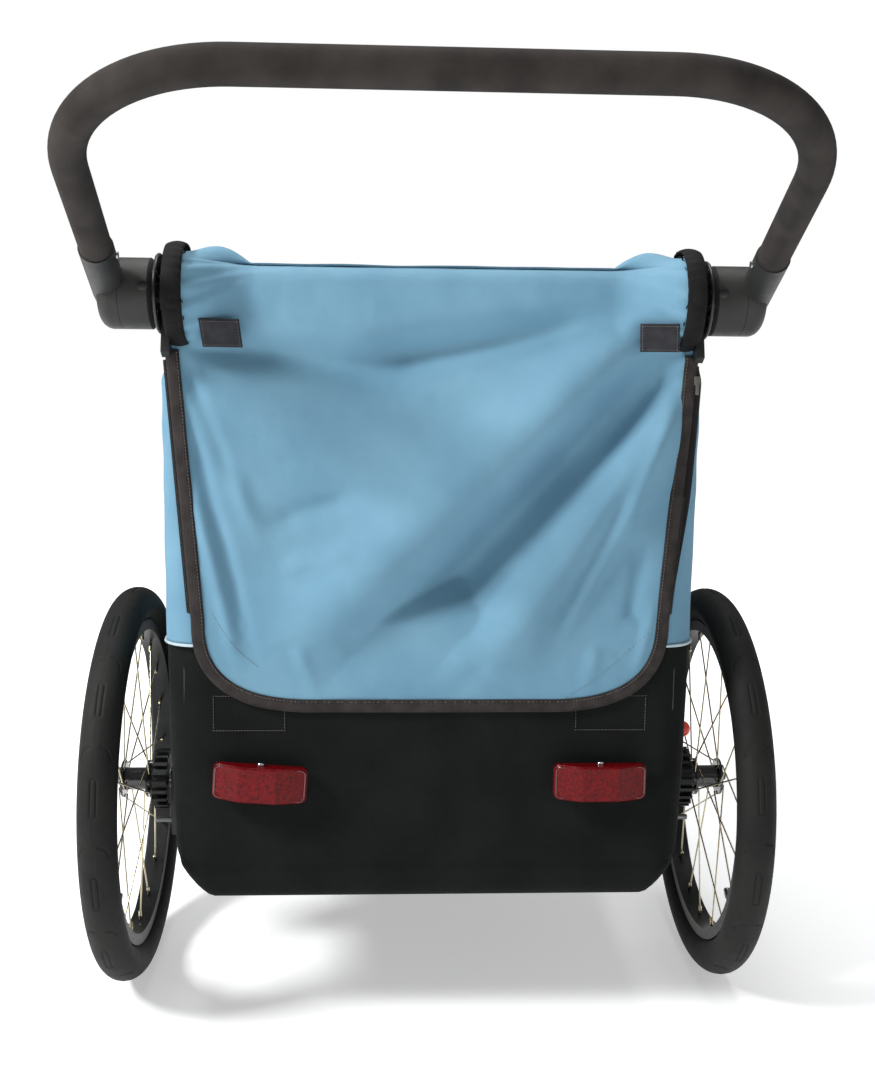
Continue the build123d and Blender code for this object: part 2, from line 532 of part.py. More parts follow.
# ---- front of the chassis ----
def make_caster():
    """Swivelling front support wheel and its bracket on the front cross tube."""
    housing_low = TUB_BOTTOM_Z - 21
    shelf = block(-22, 22, CASTER_Y - 17, FRONT_TUBE_Y + 6, TUB_BOTTOM_Z + TUB_WALL + 2.5, FLOOR_TUBE_Z)
    bracket = shelf + rod_z(17, housing_low, FLOOR_TUBE_Z, 0, CASTER_Y)
    bracket -= rod_x(TUBE_R + SEAT, -40, 40, FRONT_TUBE_Y, FLOOR_TUBE_Z)
    stem_top = FLOOR_TUBE_Z - 8
    bracket -= rod_z(STEM_R + RUN, housing_low - 1, stem_top + 1, 0, CASTER_Y)
    nodes["caster_bracket"] = bracket.solids().sort_by(SortBy.VOLUME)[-1]

    crown_high = housing_low - 1
    crown_low = crown_high - 12
    axle_y = CASTER_Y - CASTER_TRAIL
    leg_in = CASTER_W / 2 + 2.5
    leg_out = leg_in + 5
    fork = block(-leg_out, leg_out, CASTER_Y - 18, CASTER_Y + 18, crown_low, crown_high)
    fork += rod_z(STEM_R, crown_high - 1, stem_top, 0, CASTER_Y)
    side = [(CASTER_Y - 18, crown_high), (CASTER_Y + 18, crown_high), (CASTER_Y + 14, crown_low - 12),
            (axle_y + 11, CASTER_R - 6), (axle_y - 11, CASTER_R - 6), (axle_y - 13, CASTER_R + 10)]
    for x in (-leg_out, leg_in):
        fork += plate_yz(side, x, x + 5)
        fork += rod_x(12, x, x + 5, axle_y, CASTER_R)
    fork -= rod_x(4 + SEAT / 4, -leg_out - 1, leg_out + 1, axle_y, CASTER_R)
    axle = rod_x(4, -leg_out - 2, leg_out + 2, axle_y, CASTER_R)
    nodes["caster_fork"] = Compound(children=[*solids_of(fork), *solids_of(axle)])

    rim_r = CASTER_R - 14
    tyre = rod_x(CASTER_R, -CASTER_W / 2, CASTER_W / 2, axle_y, CASTER_R)
    tyre = fillet(tyre.edges().filter_by(GeomType.CIRCLE), 9)
    nodes["caster_tyre"] = tyre - rod_x(rim_r + SEAT / 2, -40, 40, axle_y, CASTER_R)
    rim = rod_x(rim_r, -CASTER_W / 2 + 3, CASTER_W / 2 - 3, axle_y, CASTER_R)
    rim += rod_x(10, -CASTER_W / 2 - 1.5, CASTER_W / 2 + 1.5, axle_y, CASTER_R)
    nodes["caster_rim"] = rim - rod_x(4 + RUN, -40, 40, axle_y, CASTER_R)
    return rod_z(17 + 1, 0, FLOOR_TUBE_Z, 0, CASTER_Y)


def make_tow_arm():
    """Tow arm on a clevis at the left front corner, parked across the nose."""
    x0 = -FRAME_HALF - 14
    x1 = -FRAME_HALF + 14
    web_y = NOSE_Y + 4
    low = TOW_Z - TOW_EYE_HALF - 0.5
    high = TOW_Z + TOW_EYE_HALF + 0.5
    ear = TOW_EAR
    bracket = block(x0, x1, FRONT_TUBE_Y, web_y + 8, FLOOR_TUBE_Z - TUBE_R, FLOOR_TUBE_Z + TUBE_R)
    bracket += block(x0, x1, web_y, web_y + 8, FLOOR_TUBE_Z - TUBE_R, high + ear)
    for z in (low - ear, high):
        bracket += block(x0, x1, web_y, TOW_PIN_Y, z, z + ear)
        bracket += rod_z(14, z, z + ear, -FRAME_HALF, TOW_PIN_Y)
    bracket -= rod_x(TUBE_R + SEAT, -400, 0, FRONT_TUBE_Y, FLOOR_TUBE_Z)
    bracket -= rod_z(TOW_PIN_R + SEAT / 4, 0, 400, -FRAME_HALF, TOW_PIN_Y)
    nodes["tow_bracket"] = bracket

    hitch_x = -FRAME_HALF + TOW_LENGTH
    arm = rod_z(TOW_EYE_R, TOW_Z - TOW_EYE_HALF, TOW_Z + TOW_EYE_HALF, -FRAME_HALF, TOW_PIN_Y)
    arm += rod_x(TOW_TUBE_R, -FRAME_HALF, hitch_x - 24, TOW_PIN_Y, TOW_Z)
    arm -= rod_z(TOW_PIN_R + RUN, 0, 400, -FRAME_HALF, TOW_PIN_Y)
    arm -= rod_x(TOW_TUBE_R - 2, -FRAME_HALF + TOW_EYE_R + 6, hitch_x, TOW_PIN_Y, TOW_Z)
    nodes["tow_arm"] = arm
    head = rod_x(TOW_TUBE_R - 2 - SEAT / 2, hitch_x - 60, hitch_x - 24, TOW_PIN_Y, TOW_Z)
    head += rod_x(TOW_TUBE_R - 3, hitch_x - 25, hitch_x - 23, TOW_PIN_Y, TOW_Z)
    head += rod_x(TOW_TUBE_R + 1, hitch_x - 24 + SEAT, hitch_x - 12, TOW_PIN_Y, TOW_Z)
    head += block(hitch_x - 14, hitch_x, TOW_PIN_Y - 14, TOW_PIN_Y + 14, TOW_Z - 10, TOW_Z + 10)
    head += rod_z(14, TOW_Z - 10, TOW_Z + 10, hitch_x, TOW_PIN_Y)
    head -= rod_z(HITCH_BORE_R, 0, 400, hitch_x, TOW_PIN_Y)
    nodes["hitch_head"] = head
    hole_low = FLOOR_TUBE_Z - TUBE_R - 1
    return block(x0 - 1, x1 + 1, FRONT_TUBE_Y - 20, NOSE_Y + 20, hole_low, FLOOR_TUBE_Z + TUBE_R + 1)


# ---- reflectors ----
def make_reflectors():
    """Three-faced rear reflectors on short feet, each with a screw on top."""
    half = REFLECTOR_W / 2
    base_y = REAR_Y - 7
    face = make_face(Polyline((-half, 0), (-half, -9), (-half + 30, -REFLECTOR_DEPTH),
                              (half - 34, -REFLECTOR_DEPTH), (half, -9), (half, 0), close=True))
    lens = extrude(face, REFLECTOR_H)
    lens = fillet(lens.edges().filter_by(Axis.Z), 3)
    lens = Pos(0, 0, -REFLECTOR_H / 2) * lens
    lens += block(-14, 14, -1, 7 - SEAT, -11, 11)
    screw = rod_z(4.5, REFLECTOR_H / 2 + SEAT, REFLECTOR_H / 2 + 3.5, 0, -9)
    screw = fillet(screw.edges().filter_by(GeomType.CIRCLE).sort_by(Axis.Z)[-1], 1.8)
    screws = []
    for side, lean in ((-1, REFLECTOR_LEAN), (1, 0)):
        place = Pos(side * REFLECTOR_X, base_y, REFLECTOR_Z) * Rot(0, lean, 0)
        nodes["reflector_left" if side < 0 else "reflector_right"] = place * lens
        screws += solids_of(place * screw)
    nodes["reflector_screws"] = Compound(children=screws)


# ---- cloth and padding, as plain solids ----
def cover_prism(inset, half):
    """Space under the upper cover: level roof, then down over the hoop to the nose."""
    rear = REAR_Y - 0.7 + inset
    low = SEAM_Z + COVER_GAP
    bottom = 0 if inset == 0 else -5
    points = [(rear, low + bottom), (SEAM_BEND_Y, low + bottom), (NOSE_Y, NOSE_Z + COVER_GAP + bottom),
              (HOOP_HINGE_Y + 15 - inset, HOOP_HINGE_Z + 14 - inset),
              (ROOF_FRONT_Y - inset * 0.4, ROOF_Z - inset), (rear, ROOF_Z - inset)]
    return plate_yz(points, -half, half)


def make_covers():
    """Roof with its sides, front cover, rear flap and seat back."""
    half = TUB_HALF_TOP + 1
    pocket_y = HUB_Y + HUB_R + 35
    pocket_z = HUB_Z - HUB_R - 29
    pocket_x = FRAME_HALF + TUBE_R + 4
    outside = cover_prism(0, half)
    inside = cover_prism(COVER_T, half - COVER_T)
    for side in (-1, 1):
        outside -= block(side * pocket_x, side * 400, REAR_Y - 50, pocket_y, pocket_z, 1000)
        inside -= block(side * (pocket_x - COVER_T), side * 400, REAR_Y - 50, pocket_y + COVER_T,
                        pocket_z - COVER_T, 1000)
    cover = outside - inside
    cover -= block(-252, 252, REAR_Y - 10, REAR_Y + 6, 0, pocket_z)
    neck_hole = HUB_NECK_R + 20
    cover -= block(-400, 400, REAR_Y - 10, REAR_Y + 6, pocket_z, ROOF_Z - COVER_T - 1)
    cover -= rod_x(neck_hole, -400, 400, HUB_Y, HUB_Z)
    front_line = [(ROOF_FRONT_Y - 12, 0), (NOSE_Y + 20, 0), (NOSE_Y + 20, ROOF_Z + 20),
                  (ROOF_FRONT_Y - 12, ROOF_Z + 20)]
    cut = plate_yz(front_line, -(half - COVER_T), half - COVER_T)
    nodes["upper_cover"] = (cover - cut).solids().sort_by(SortBy.VOLUME)[-1]

    sheet = (cover_prism(0, half) - cover_prism(COVER_T, half + 5)) & plate_yz(
        [(ROOF_FRONT_Y - 11, 0), (NOSE_Y + 20, 0), (NOSE_Y + 20, ROOF_Z + 20),
         (ROOF_FRONT_Y - 11, ROOF_Z + 20)], -(half - COVER_T - SOFT), half - COVER_T - SOFT)
    sheet &= block(-400, 400, 0, 1000, NOSE_Z + COVER_GAP, 1000)
    nodes["front_cover"] = sheet.solids().sort_by(SortBy.VOLUME)[-1]

    flap_y = REAR_Y - 1.3
    top = ROOF_Z - COVER_T - 1
    ear_low = HUB_Z - HUB_R - 23
    ear_high = ear_low + 6
    outline = [(-268, top), (-268, ear_high), (-286, ear_low), (-262, 478), (-240, 425), (-190, 402),
               (190, 402), (240, 425), (262, 478), (286, ear_low), (268, ear_high), (268, top)]
    nodes["rear_flap"] = plate_xz(outline, flap_y - COVER_T, flap_y)

    foot_y = SEAT_BACK_Y - SOFT
    back_top = ROOF_Z - 88
    back = [(foot_y, SEAT_Z - 38), (foot_y - 16, SEAT_Z - 38), (-134, back_top - 4), (-122, back_top)]
    nodes["seat_back"] = plate_yz(back, -225, 225)


ring_x = make_wheel()
make_chassis()
tub_holes = make_receivers(ring_x)
make_rear_frame()
make_front_hoop()
make_handlebar()
tub_holes.append(make_caster())
tub_holes.append(make_tow_arm())
make_tub(tub_holes)
make_reflectors()
make_covers()

os.makedirs("parts", exist_ok=True)
for name, shape in nodes.items():
    placed = [Pos(0, SHIFT_Y, 0) * solid for solid in solids_of(shape)]
    export_step(placed[0] if len(placed) == 1 else Compound(children=placed), f"parts/{name}.step")
print(len(nodes), "nodes, shift", SHIFT_Y)
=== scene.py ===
"""Child bicycle trailer: cloth, padding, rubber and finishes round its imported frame."""
from math import atan2, cos, exp, hypot, pi, radians, sin, sqrt

import bpy
from mathutils import Matrix, Vector, noise
from mathutils.bvhtree import BVHTree


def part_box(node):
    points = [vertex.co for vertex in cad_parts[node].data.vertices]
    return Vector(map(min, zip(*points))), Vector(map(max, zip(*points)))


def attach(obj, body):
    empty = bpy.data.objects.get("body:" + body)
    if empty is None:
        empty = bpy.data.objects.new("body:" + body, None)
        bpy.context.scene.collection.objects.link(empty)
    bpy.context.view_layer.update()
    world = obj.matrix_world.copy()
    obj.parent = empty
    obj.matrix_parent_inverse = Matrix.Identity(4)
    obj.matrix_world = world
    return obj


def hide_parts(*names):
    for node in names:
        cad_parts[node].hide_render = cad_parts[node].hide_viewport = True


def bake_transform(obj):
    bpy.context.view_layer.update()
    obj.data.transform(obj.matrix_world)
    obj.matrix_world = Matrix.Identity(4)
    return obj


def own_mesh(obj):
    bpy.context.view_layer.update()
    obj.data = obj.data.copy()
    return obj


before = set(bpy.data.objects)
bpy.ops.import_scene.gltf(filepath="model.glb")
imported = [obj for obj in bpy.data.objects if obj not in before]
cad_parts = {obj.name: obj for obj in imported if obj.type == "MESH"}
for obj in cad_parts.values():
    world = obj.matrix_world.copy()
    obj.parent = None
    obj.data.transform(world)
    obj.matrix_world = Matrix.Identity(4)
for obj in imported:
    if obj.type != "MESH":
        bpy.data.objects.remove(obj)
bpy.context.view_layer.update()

MM = 0.001


# ---- places read from the frame ----
def middle(node):
    """Middle of a CAD node's box."""
    low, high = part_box(node)
    return (low + high) / 2


AXLE = middle("rim_right")
HUB = middle("release_button_right")
POST_Y = middle("rear_frame_tube").y
BAR_TOP_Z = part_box("rear_frame_tube")[1].z
FLAP_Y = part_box("rear_flap")[0].y + 1.0 * MM
HEM_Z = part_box("rear_flap")[0].z - 5 * MM
TUB_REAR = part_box("tub_back")[0].y
TUB_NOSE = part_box("tub_nose")[1].y
TUB_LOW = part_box("tub_floor")[0].z
SEAM_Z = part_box("tub_back")[1].z
TUB_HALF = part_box("tub_side_right")[1].x
ROOF_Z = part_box("upper_cover")[1].z
NOSE_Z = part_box("front_cover")[0].z
SIDE_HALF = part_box("upper_cover")[1].x
SEAM_BEND_Y = AXLE.y + 120 * MM
HOOP_TOP_Y = AXLE.y + 57 * MM
HOOP_FOOT = Vector((0, AXLE.y + 515 * MM, 434 * MM))
CUFF_X = 277 * MM
CUFF_R = 51 * MM


# ---- modelling helpers ----
def start_new():
    """Nothing selected, so an operator acts on the new piece alone."""
    bpy.ops.object.select_all(action="DESELECT")


def take(piece):
    """Makes a piece the only selected and active one."""
    start_new()
    piece.select_set(True)
    bpy.context.view_layer.objects.active = piece


def apply_modifier(piece, kind, **settings):
    take(piece)
    modifier = piece.modifiers.new(kind.title(), kind)
    for key, value in settings.items():
        setattr(modifier, key, value)
    bpy.ops.object.modifier_apply(modifier=modifier.name)


def settle(piece):
    """Puts a piece's place into its mesh, so its object sits at the origin."""
    take(piece)
    bpy.ops.object.transform_apply(location=True, rotation=True, scale=True)


def smooth(piece, angle=40):
    take(piece)
    bpy.ops.object.shade_smooth_by_angle(angle=radians(angle))


def edit(piece, *steps):
    """Runs mesh operators on the whole piece in edit mode."""
    take(piece)
    bpy.ops.object.mode_set(mode="EDIT")
    bpy.ops.mesh.select_all(action="SELECT")
    for operator, settings in steps:
        operator(**settings)
    bpy.ops.object.mode_set(mode="OBJECT")


def sheet(name, across, along, place, size, facing=None, joined=False):
    """Grid whose points lie at place(u, v); its UV map is in metres, from its flat size."""
    start_new()
    bpy.ops.mesh.primitive_grid_add(x_subdivisions=across, y_subdivisions=along, size=2)
    piece = bpy.context.active_object
    piece.name = piece.data.name = name
    for vertex in piece.data.vertices:
        vertex.co = place((vertex.co.x + 1) / 2, (vertex.co.y + 1) / 2)
    for corner in piece.data.uv_layers.active.data:
        corner.uv = (corner.uv.x * size[0], corner.uv.y * size[1])
    if joined:
        edit(piece, (bpy.ops.mesh.remove_doubles, {"threshold": 0.05 * MM}),
             (bpy.ops.mesh.normals_make_consistent, {"inside": False}))
    if facing:
        lean = sum((face.normal * face.area for face in piece.data.polygons), Vector())
        if lean.dot(Vector(facing)) < 0:
            edit(piece, (bpy.ops.mesh.flip_normals, {}))
    smooth(piece, 60)
    return piece


def thicken(piece, thickness, offset=-1):
    apply_modifier(piece, "SOLIDIFY", thickness=thickness, offset=offset)
    return piece


def piping(name, points, radius, closed=False, sides=3):
    """Round cord sewn along the points."""
    start_new()
    curve = bpy.data.curves.new(name, "CURVE")
    curve.dimensions = "3D"
    curve.bevel_depth = radius
    curve.bevel_resolution = sides
    curve.use_fill_caps = True
    line = curve.splines.new("POLY")
    line.points.add(len(points) - 1)
    for knot, point in zip(line.points, points):
        knot.co = (*point, 1)
    line.use_cyclic_u = closed
    piece = bpy.data.objects.new(name, curve)
    bpy.context.scene.collection.objects.link(piece)
    take(piece)
    bpy.ops.object.convert(target="MESH")
    piece = bpy.context.active_object
    smooth(piece, 60)
    return piece


def block(name, size, at, bevel, segments=3, turn=None):
    """Box with rounded edges."""
    start_new()
    bpy.ops.mesh.primitive_cube_add(size=1, location=at)
    piece = bpy.context.active_object
    piece.name = piece.data.name = name
    piece.scale = size
    if turn:
        piece.rotation_euler = turn
    settle(piece)
    apply_modifier(piece, "BEVEL", width=bevel, segments=segments, limit_method="NONE")
    smooth(piece, 50)
    return piece


def disc(name, radius, depth, at, axis="X", bevel=0.5 * MM, sides=48):
    """Short round bar with broken edges."""
    turn = {"X": (0, pi / 2, 0), "Y": (pi / 2, 0, 0), "Z": (0, 0, 0)}[axis]
    start_new()
    bpy.ops.mesh.primitive_cylinder_add(vertices=sides, radius=radius, depth=depth, location=at,
                                        rotation=turn)
    piece = bpy.context.active_object
    piece.name = piece.data.name = name
    settle(piece)
    apply_modifier(piece, "BEVEL", width=bevel, segments=2, limit_method="ANGLE")
    smooth(piece, 40)
    return piece


def row_of(name, model, places):
    """One mesh that repeats a small model at each place, and removes the model."""
    points = [vertex.co.copy() for vertex in model.data.vertices]
    faces = [list(face.vertices) for face in model.data.polygons]
    all_points, all_faces = [], []
    for place in places:
        first = len(all_points)
        all_points += [place @ point for point in points]
        all_faces += [[first + index for index in face] for face in faces]
    mesh = bpy.data.meshes.new(name)
    mesh.from_pydata(all_points, [], all_faces)
    piece = bpy.data.objects.new(name, mesh)
    bpy.context.scene.collection.objects.link(piece)
    bpy.data.objects.remove(model)
    smooth(piece, 40)
    return piece


def merge(name, pieces):
    """Joins pieces into one object."""
    take(pieces[0])
    for piece in pieces[1:]:
        piece.select_set(True)
    bpy.ops.object.join()
    whole = bpy.context.active_object
    whole.name = whole.data.name = name
    return whole


def ease(value, low, high):
    """Smooth step from 0 at low to 1 at high."""
    t = min(1, max(0, (value - low) / (high - low)))
    return t * t * (3 - 2 * t)


def mix(a, b, t):
    return a + (b - a) * t


def ripple(point, scale, seed):
    """Gentle unevenness of cloth, from -1 to 1."""
    return noise.noise(Vector(point) / scale + Vector((seed, 0, 0)))


# ---- materials ----
def colour(code):
    """Linear colour from a hex code."""
    values = [int(code[i:i + 2], 16) / 255 for i in (0, 2, 4)]
    return [v / 12.92 if v < 0.04045 else ((v + 0.055) / 1.055) ** 2.4 for v in values] + [1]


class Finish:
    """Procedural material: two colours mixed by noise, with uneven roughness and a relief."""

    def __init__(self, name, light, dark, rough, spread=0.08, patch=30, **sockets):
        self.material = bpy.data.materials.new(name)
        self.material.use_nodes = True
        self.nodes = self.material.node_tree.nodes
        self.links = self.material.node_tree.links
        self.shader = self.nodes["Principled BSDF"]
        for key, value in sockets.items():
            self.shader.inputs[key.replace("_", " ")].default_value = value
        self.where = self.nodes.new("ShaderNodeTexCoord")
        cloudy = self.noise("Object", patch, 4)
        self.ramp = self.nodes.new("ShaderNodeValToRGB")
        self.ramp.color_ramp.elements[0].position = 0.35
        self.ramp.color_ramp.elements[1].position = 0.65
        self.ramp.color_ramp.elements[0].color = colour(dark)
        self.ramp.color_ramp.elements[1].color = colour(light)
        self.links.new(cloudy.outputs["Fac"], self.ramp.inputs["Fac"])
        self.paint = self.ramp.outputs["Color"]
        self.links.new(self.paint, self.shader.inputs["Base Color"])
        worn = self.noise("Object", patch * 7, 3)
        spreading = self.nodes.new("ShaderNodeMapRange")
        spreading.inputs["To Min"].default_value = rough - spread
        spreading.inputs["To Max"].default_value = rough + spread
        self.links.new(worn.outputs["Fac"], spreading.inputs["Value"])
        self.links.new(spreading.outputs["Result"], self.shader.inputs["Roughness"])
        self.bump = None

    def noise(self, space, scale, detail):
        node = self.nodes.new("ShaderNodeTexNoise")
        node.inputs["Scale"].default_value = scale
        node.inputs["Detail"].default_value = detail
        self.links.new(self.where.outputs[space], node.inputs["Vector"])
        return node

    def relief(self, height, depth, strength=1.0):
        """Adds a height to the bump chain; depth in metres."""
        bump = self.nodes.new("ShaderNodeBump")
        bump.inputs["Distance"].default_value = depth
        bump.inputs["Strength"].default_value = strength
        self.links.new(height, bump.inputs["Height"])
        if self.bump:
            self.links.new(self.bump.outputs["Normal"], bump.inputs["Normal"])
        self.links.new(bump.outputs["Normal"], self.shader.inputs["Normal"])
        self.bump = bump
        return self

    def grain(self, scale, depth, detail=4, space="Object"):
        return self.relief(self.noise(space, scale, detail).outputs["Fac"], depth)

    def threads(self, pitch, depth, tint=0.12, space="UV"):
        """Plain weave: two crossing sets of threads, which also shade the colour a little."""
        waves = []
        for way in ("X", "Y"):
            wave = self.nodes.new("ShaderNodeTexWave")
            wave.bands_direction = way
            wave.inputs["Scale"].default_value = 0.314 / pitch
            wave.inputs["Distortion"].default_value = 1.2
            wave.inputs["Detail"].default_value = 2
            wave.inputs["Detail Scale"].default_value = 1.5
            self.links.new(self.where.outputs[space], wave.inputs["Vector"])
            waves.append(wave)
        crossing = self.nodes.new("ShaderNodeMath")
        crossing.operation = "MULTIPLY"
        for index, wave in enumerate(waves):
            self.links.new(wave.outputs["Fac"], crossing.inputs[index])
        shade = self.nodes.new("ShaderNodeMix")
        shade.data_type = "RGBA"
        shade.blend_type = "MULTIPLY"
        shade.inputs["Factor"].default_value = tint
        self.links.new(self.paint, shade.inputs["A"])
        self.links.new(crossing.outputs["Value"], shade.inputs["B"])
        self.paint = shade.outputs["Result"]
        self.links.new(self.paint, self.shader.inputs["Base Color"])
        return self.relief(crossing.outputs["Value"], depth)

    def cells(self, scale, depth, space="Object"):
        """Small facets, as in a moulded reflector or a pebbled casting."""
        cell = self.nodes.new("ShaderNodeTexVoronoi")
        cell.inputs["Scale"].default_value = scale
        self.links.new(self.where.outputs[space], cell.inputs["Vector"])
        return self.relief(cell.outputs["Distance"], depth)


def cover_cloth(name="cover_cloth", light="6f9cb4", dark="628fa8"):
    made = Finish(name, light, dark, 0.78, 0.06, 9, Sheen_Weight=0.10, Sheen_Roughness=0.4)
    made.shader.inputs["Sheen Tint"].default_value = colour("c9e4f2")
    return made.threads(0.9 * MM, 0.12 * MM, 0.10).grain(70, 0.5 * MM, 5).material


def tub_cloth():
    made = Finish("tub_cloth", "171a19", "0f1111", 0.86, 0.06, 14, Specular_IOR_Level=0.14)
    return made.threads(1.3 * MM, 0.25 * MM, 0.25).grain(55, 0.6 * MM, 5).material


def tape(name="binding_tape", light="3f3a38", dark="302c2b", pitch=1.6):
    made = Finish(name, light, dark, 0.85, 0.05, 60, Specular_IOR_Level=0.2)
    return made.threads(pitch * MM, 0.3 * MM, 0.35, "Object").grain(900, 0.1 * MM).material


COVER_CLOTH = cover_cloth()
TUB_CLOTH = tub_cloth()
TAPE = tape()
ELASTIC = tape("cuff_elastic", "1c1b1c", "131213", 2.2)
HOOK_PATCH = (Finish("hook_patch", "2b2b30", "1f1f24", 0.9, 0.05, 90).grain(1400, 0.6 * MM, 2)
              .cells(900, 0.3 * MM).material)
THREAD = Finish("sewing_thread", "7f949d", "6a7f88", 0.7, 0.05, 200).grain(3000, 0.1 * MM).material
DARK_THREAD = Finish("dark_thread", "6a6462", "575150", 0.7, 0.05, 200).grain(3000, 0.1 * MM).material
PIPING = (Finish("seam_piping", "b4c4cc", "9fb2bc", 0.45, 0.05, 80, Specular_IOR_Level=0.6)
          .grain(1500, 0.1 * MM).material)
ZIP = Finish("zip_teeth", "101011", "0a0a0b", 0.35, 0.08, 90).grain(800, 0.05 * MM).material
GRIP_FOAM = (Finish("grip_foam", "383432", "2b2826", 0.9, 0.05, 25, Specular_IOR_Level=0.15)
             .grain(1800, 0.25 * MM, 6).cells(2600, 0.1 * MM).material)
HUB_PLASTIC = (Finish("hub_plastic", "2e2e2c", "242423", 0.5, 0.08, 18,
                      Specular_IOR_Level=0.3)
               .cells(1600, 0.08 * MM).grain(260, 0.06 * MM).material)
DARK_PLASTIC = Finish("dark_plastic", "141516", "0d0e0f", 0.42, 0.1, 22).grain(900, 0.06 * MM).material
POWDER_COAT = Finish("powder_coat", "1b1c1d", "131415", 0.45, 0.07, 30).grain(1500, 0.06 * MM).material
CASTING = Finish("cast_black", "1f1f20", "161617", 0.5, 0.08, 40).cells(1200, 0.08 * MM).material
PIN_STEEL = (Finish("pin_steel", "a9abad", "8d8f92", 0.32, 0.08, 60, Metallic=1.0)
             .grain(900, 0.04 * MM).material)
SPOKE_STEEL = (Finish("spoke_steel", "d6cba9", "b3aa8e", 0.25, 0.08, 40, Metallic=1.0)
               .grain(500, 0.03 * MM).material)
RIM_BLACK = (Finish("rim_black", "242526", "17181a", 0.38, 0.1, 25, Metallic=0.6)
             .grain(700, 0.04 * MM).material)
HUB_GLOSS = Finish("hub_gloss", "101112", "08090a", 0.16, 0.05, 40, Coat_Weight=0.5).grain(
    300, 0.03 * MM).material
TYRE_RUBBER = (Finish("tyre_rubber", "1d1e1b", "131412", 0.72, 0.10, 12,
                      Specular_IOR_Level=0.25)
               .grain(420, 0.12 * MM, 6).grain(60, 0.15 * MM).material)
REFLECTOR_RED = (Finish("reflector_red", "6e0408", "4a0206", 0.3, 0.05, 300, Coat_Weight=0.05,
                        Specular_IOR_Level=0.15).cells(620, 0.35 * MM).material)
REFLECTOR_RIM = Finish("reflector_rim", "5c040c", "420008", 0.2, 0.05, 60, Coat_Weight=0.6).grain(
    200, 0.05 * MM).material
KNOB_RED = Finish("knob_red", "f04a3e", "dd3328", 0.38, 0.06, 40, Coat_Weight=0.2).grain(
    600, 0.04 * MM).material
CHROME = Finish("screw_chrome", "e8e8ea", "c6c8cb", 0.12, 0.05, 90, Metallic=1.0).grain(
    700, 0.03 * MM).material
BUTTON_GREY = Finish("button_grey", "54544f", "46463f", 0.5, 0.06, 40).cells(
    1500, 0.06 * MM).material
SEAT_CLOTH = (Finish("seat_cloth", "4c5358", "3a4045", 0.86, 0.05, 35, Sheen_Weight=0.25)
              .threads(1.8 * MM, 0.35 * MM, 0.35, "Object").grain(500, 0.2 * MM).material)
WEBBING = (Finish("harness_webbing", "26282a", "1b1c1e", 0.7, 0.06, 60)
           .threads(1.4 * MM, 0.4 * MM, 0.4, "Object").material)
WINDOW = Finish("window_tint", "2a3338", "222a2f", 0.16, 0.05, 20, Alpha=0.45,
                Coat_Weight=0.4).grain(30, 0.4 * MM).material
SCREEN = (Finish("window_mesh", "2b2f31", "1f2325", 0.7, 0.05, 40, Alpha=0.72)
          .threads(1.5 * MM, 0.4 * MM, 0.5).material)


def dress(piece, material, body):
    """Gives a piece its material and, when a body is named, its body."""
    piece.data.materials.clear()
    piece.data.materials.append(material)
    if body:
        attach(piece, body)
    return piece


# ---- CAD nodes that stay in view ----
CAD_FINISH = {
    "side_frame": POWDER_COAT, "floor_cross_tubes": POWDER_COAT, "axle_tube": POWDER_COAT,
    "seat_tube": POWDER_COAT, "rear_frame_tube": POWDER_COAT, "front_hoop_tube": POWDER_COAT,
    "handlebar_tube": POWDER_COAT, "tow_arm": POWDER_COAT, "tow_bracket": CASTING,
    "axle_receivers": CASTING, "fold_clevises": CASTING, "hoop_brackets": CASTING,
    "caster_bracket": CASTING, "caster_fork": CASTING, "hitch_head": CASTING,
    "hinge_pins": PIN_STEEL, "wheel_axle": PIN_STEEL, "lock_pin": PIN_STEEL,
    "release_cap": BUTTON_GREY, "release_button": BUTTON_GREY, "hub_base": HUB_PLASTIC,
    "elbow_screws": PIN_STEEL, "elbow": HUB_PLASTIC, "fold_latch": DARK_PLASTIC,
    "foam_grip": GRIP_FOAM, "rim": RIM_BLACK, "spokes": SPOKE_STEEL, "hub": HUB_GLOSS,
    "brake_ring": DARK_PLASTIC, "brake_lever": CASTING, "brake_knob": KNOB_RED,
    "caster_tyre": TYRE_RUBBER, "caster_rim": DARK_PLASTIC, "reflector_screws": CHROME,
}


def finish_cad_nodes():
    for name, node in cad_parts.items():
        for start in sorted(CAD_FINISH, key=len, reverse=True):
            if name.startswith(start):
                node.data.materials.clear()
                node.data.materials.append(CAD_FINISH[start])
                break


# ---- the rear flap's outline and surface ----
FLAP_TOP_HALF = 289 * MM
FLAP_LOW_HALF = 266 * MM
FLAP_TOP_Z = 797 * MM
CORNER_Z = 500 * MM
CORNER_WIDE = 140 * MM
CORNER_POWER = 2.6
FOLD_RISE = 4.4               # how boldly the cloth folds
CUFF_LOW_TURN = 45          # degrees above level where the flap's top line meets the cuff
RING_SHARE = 0.24           # share of the flap's rows beside the cuffs

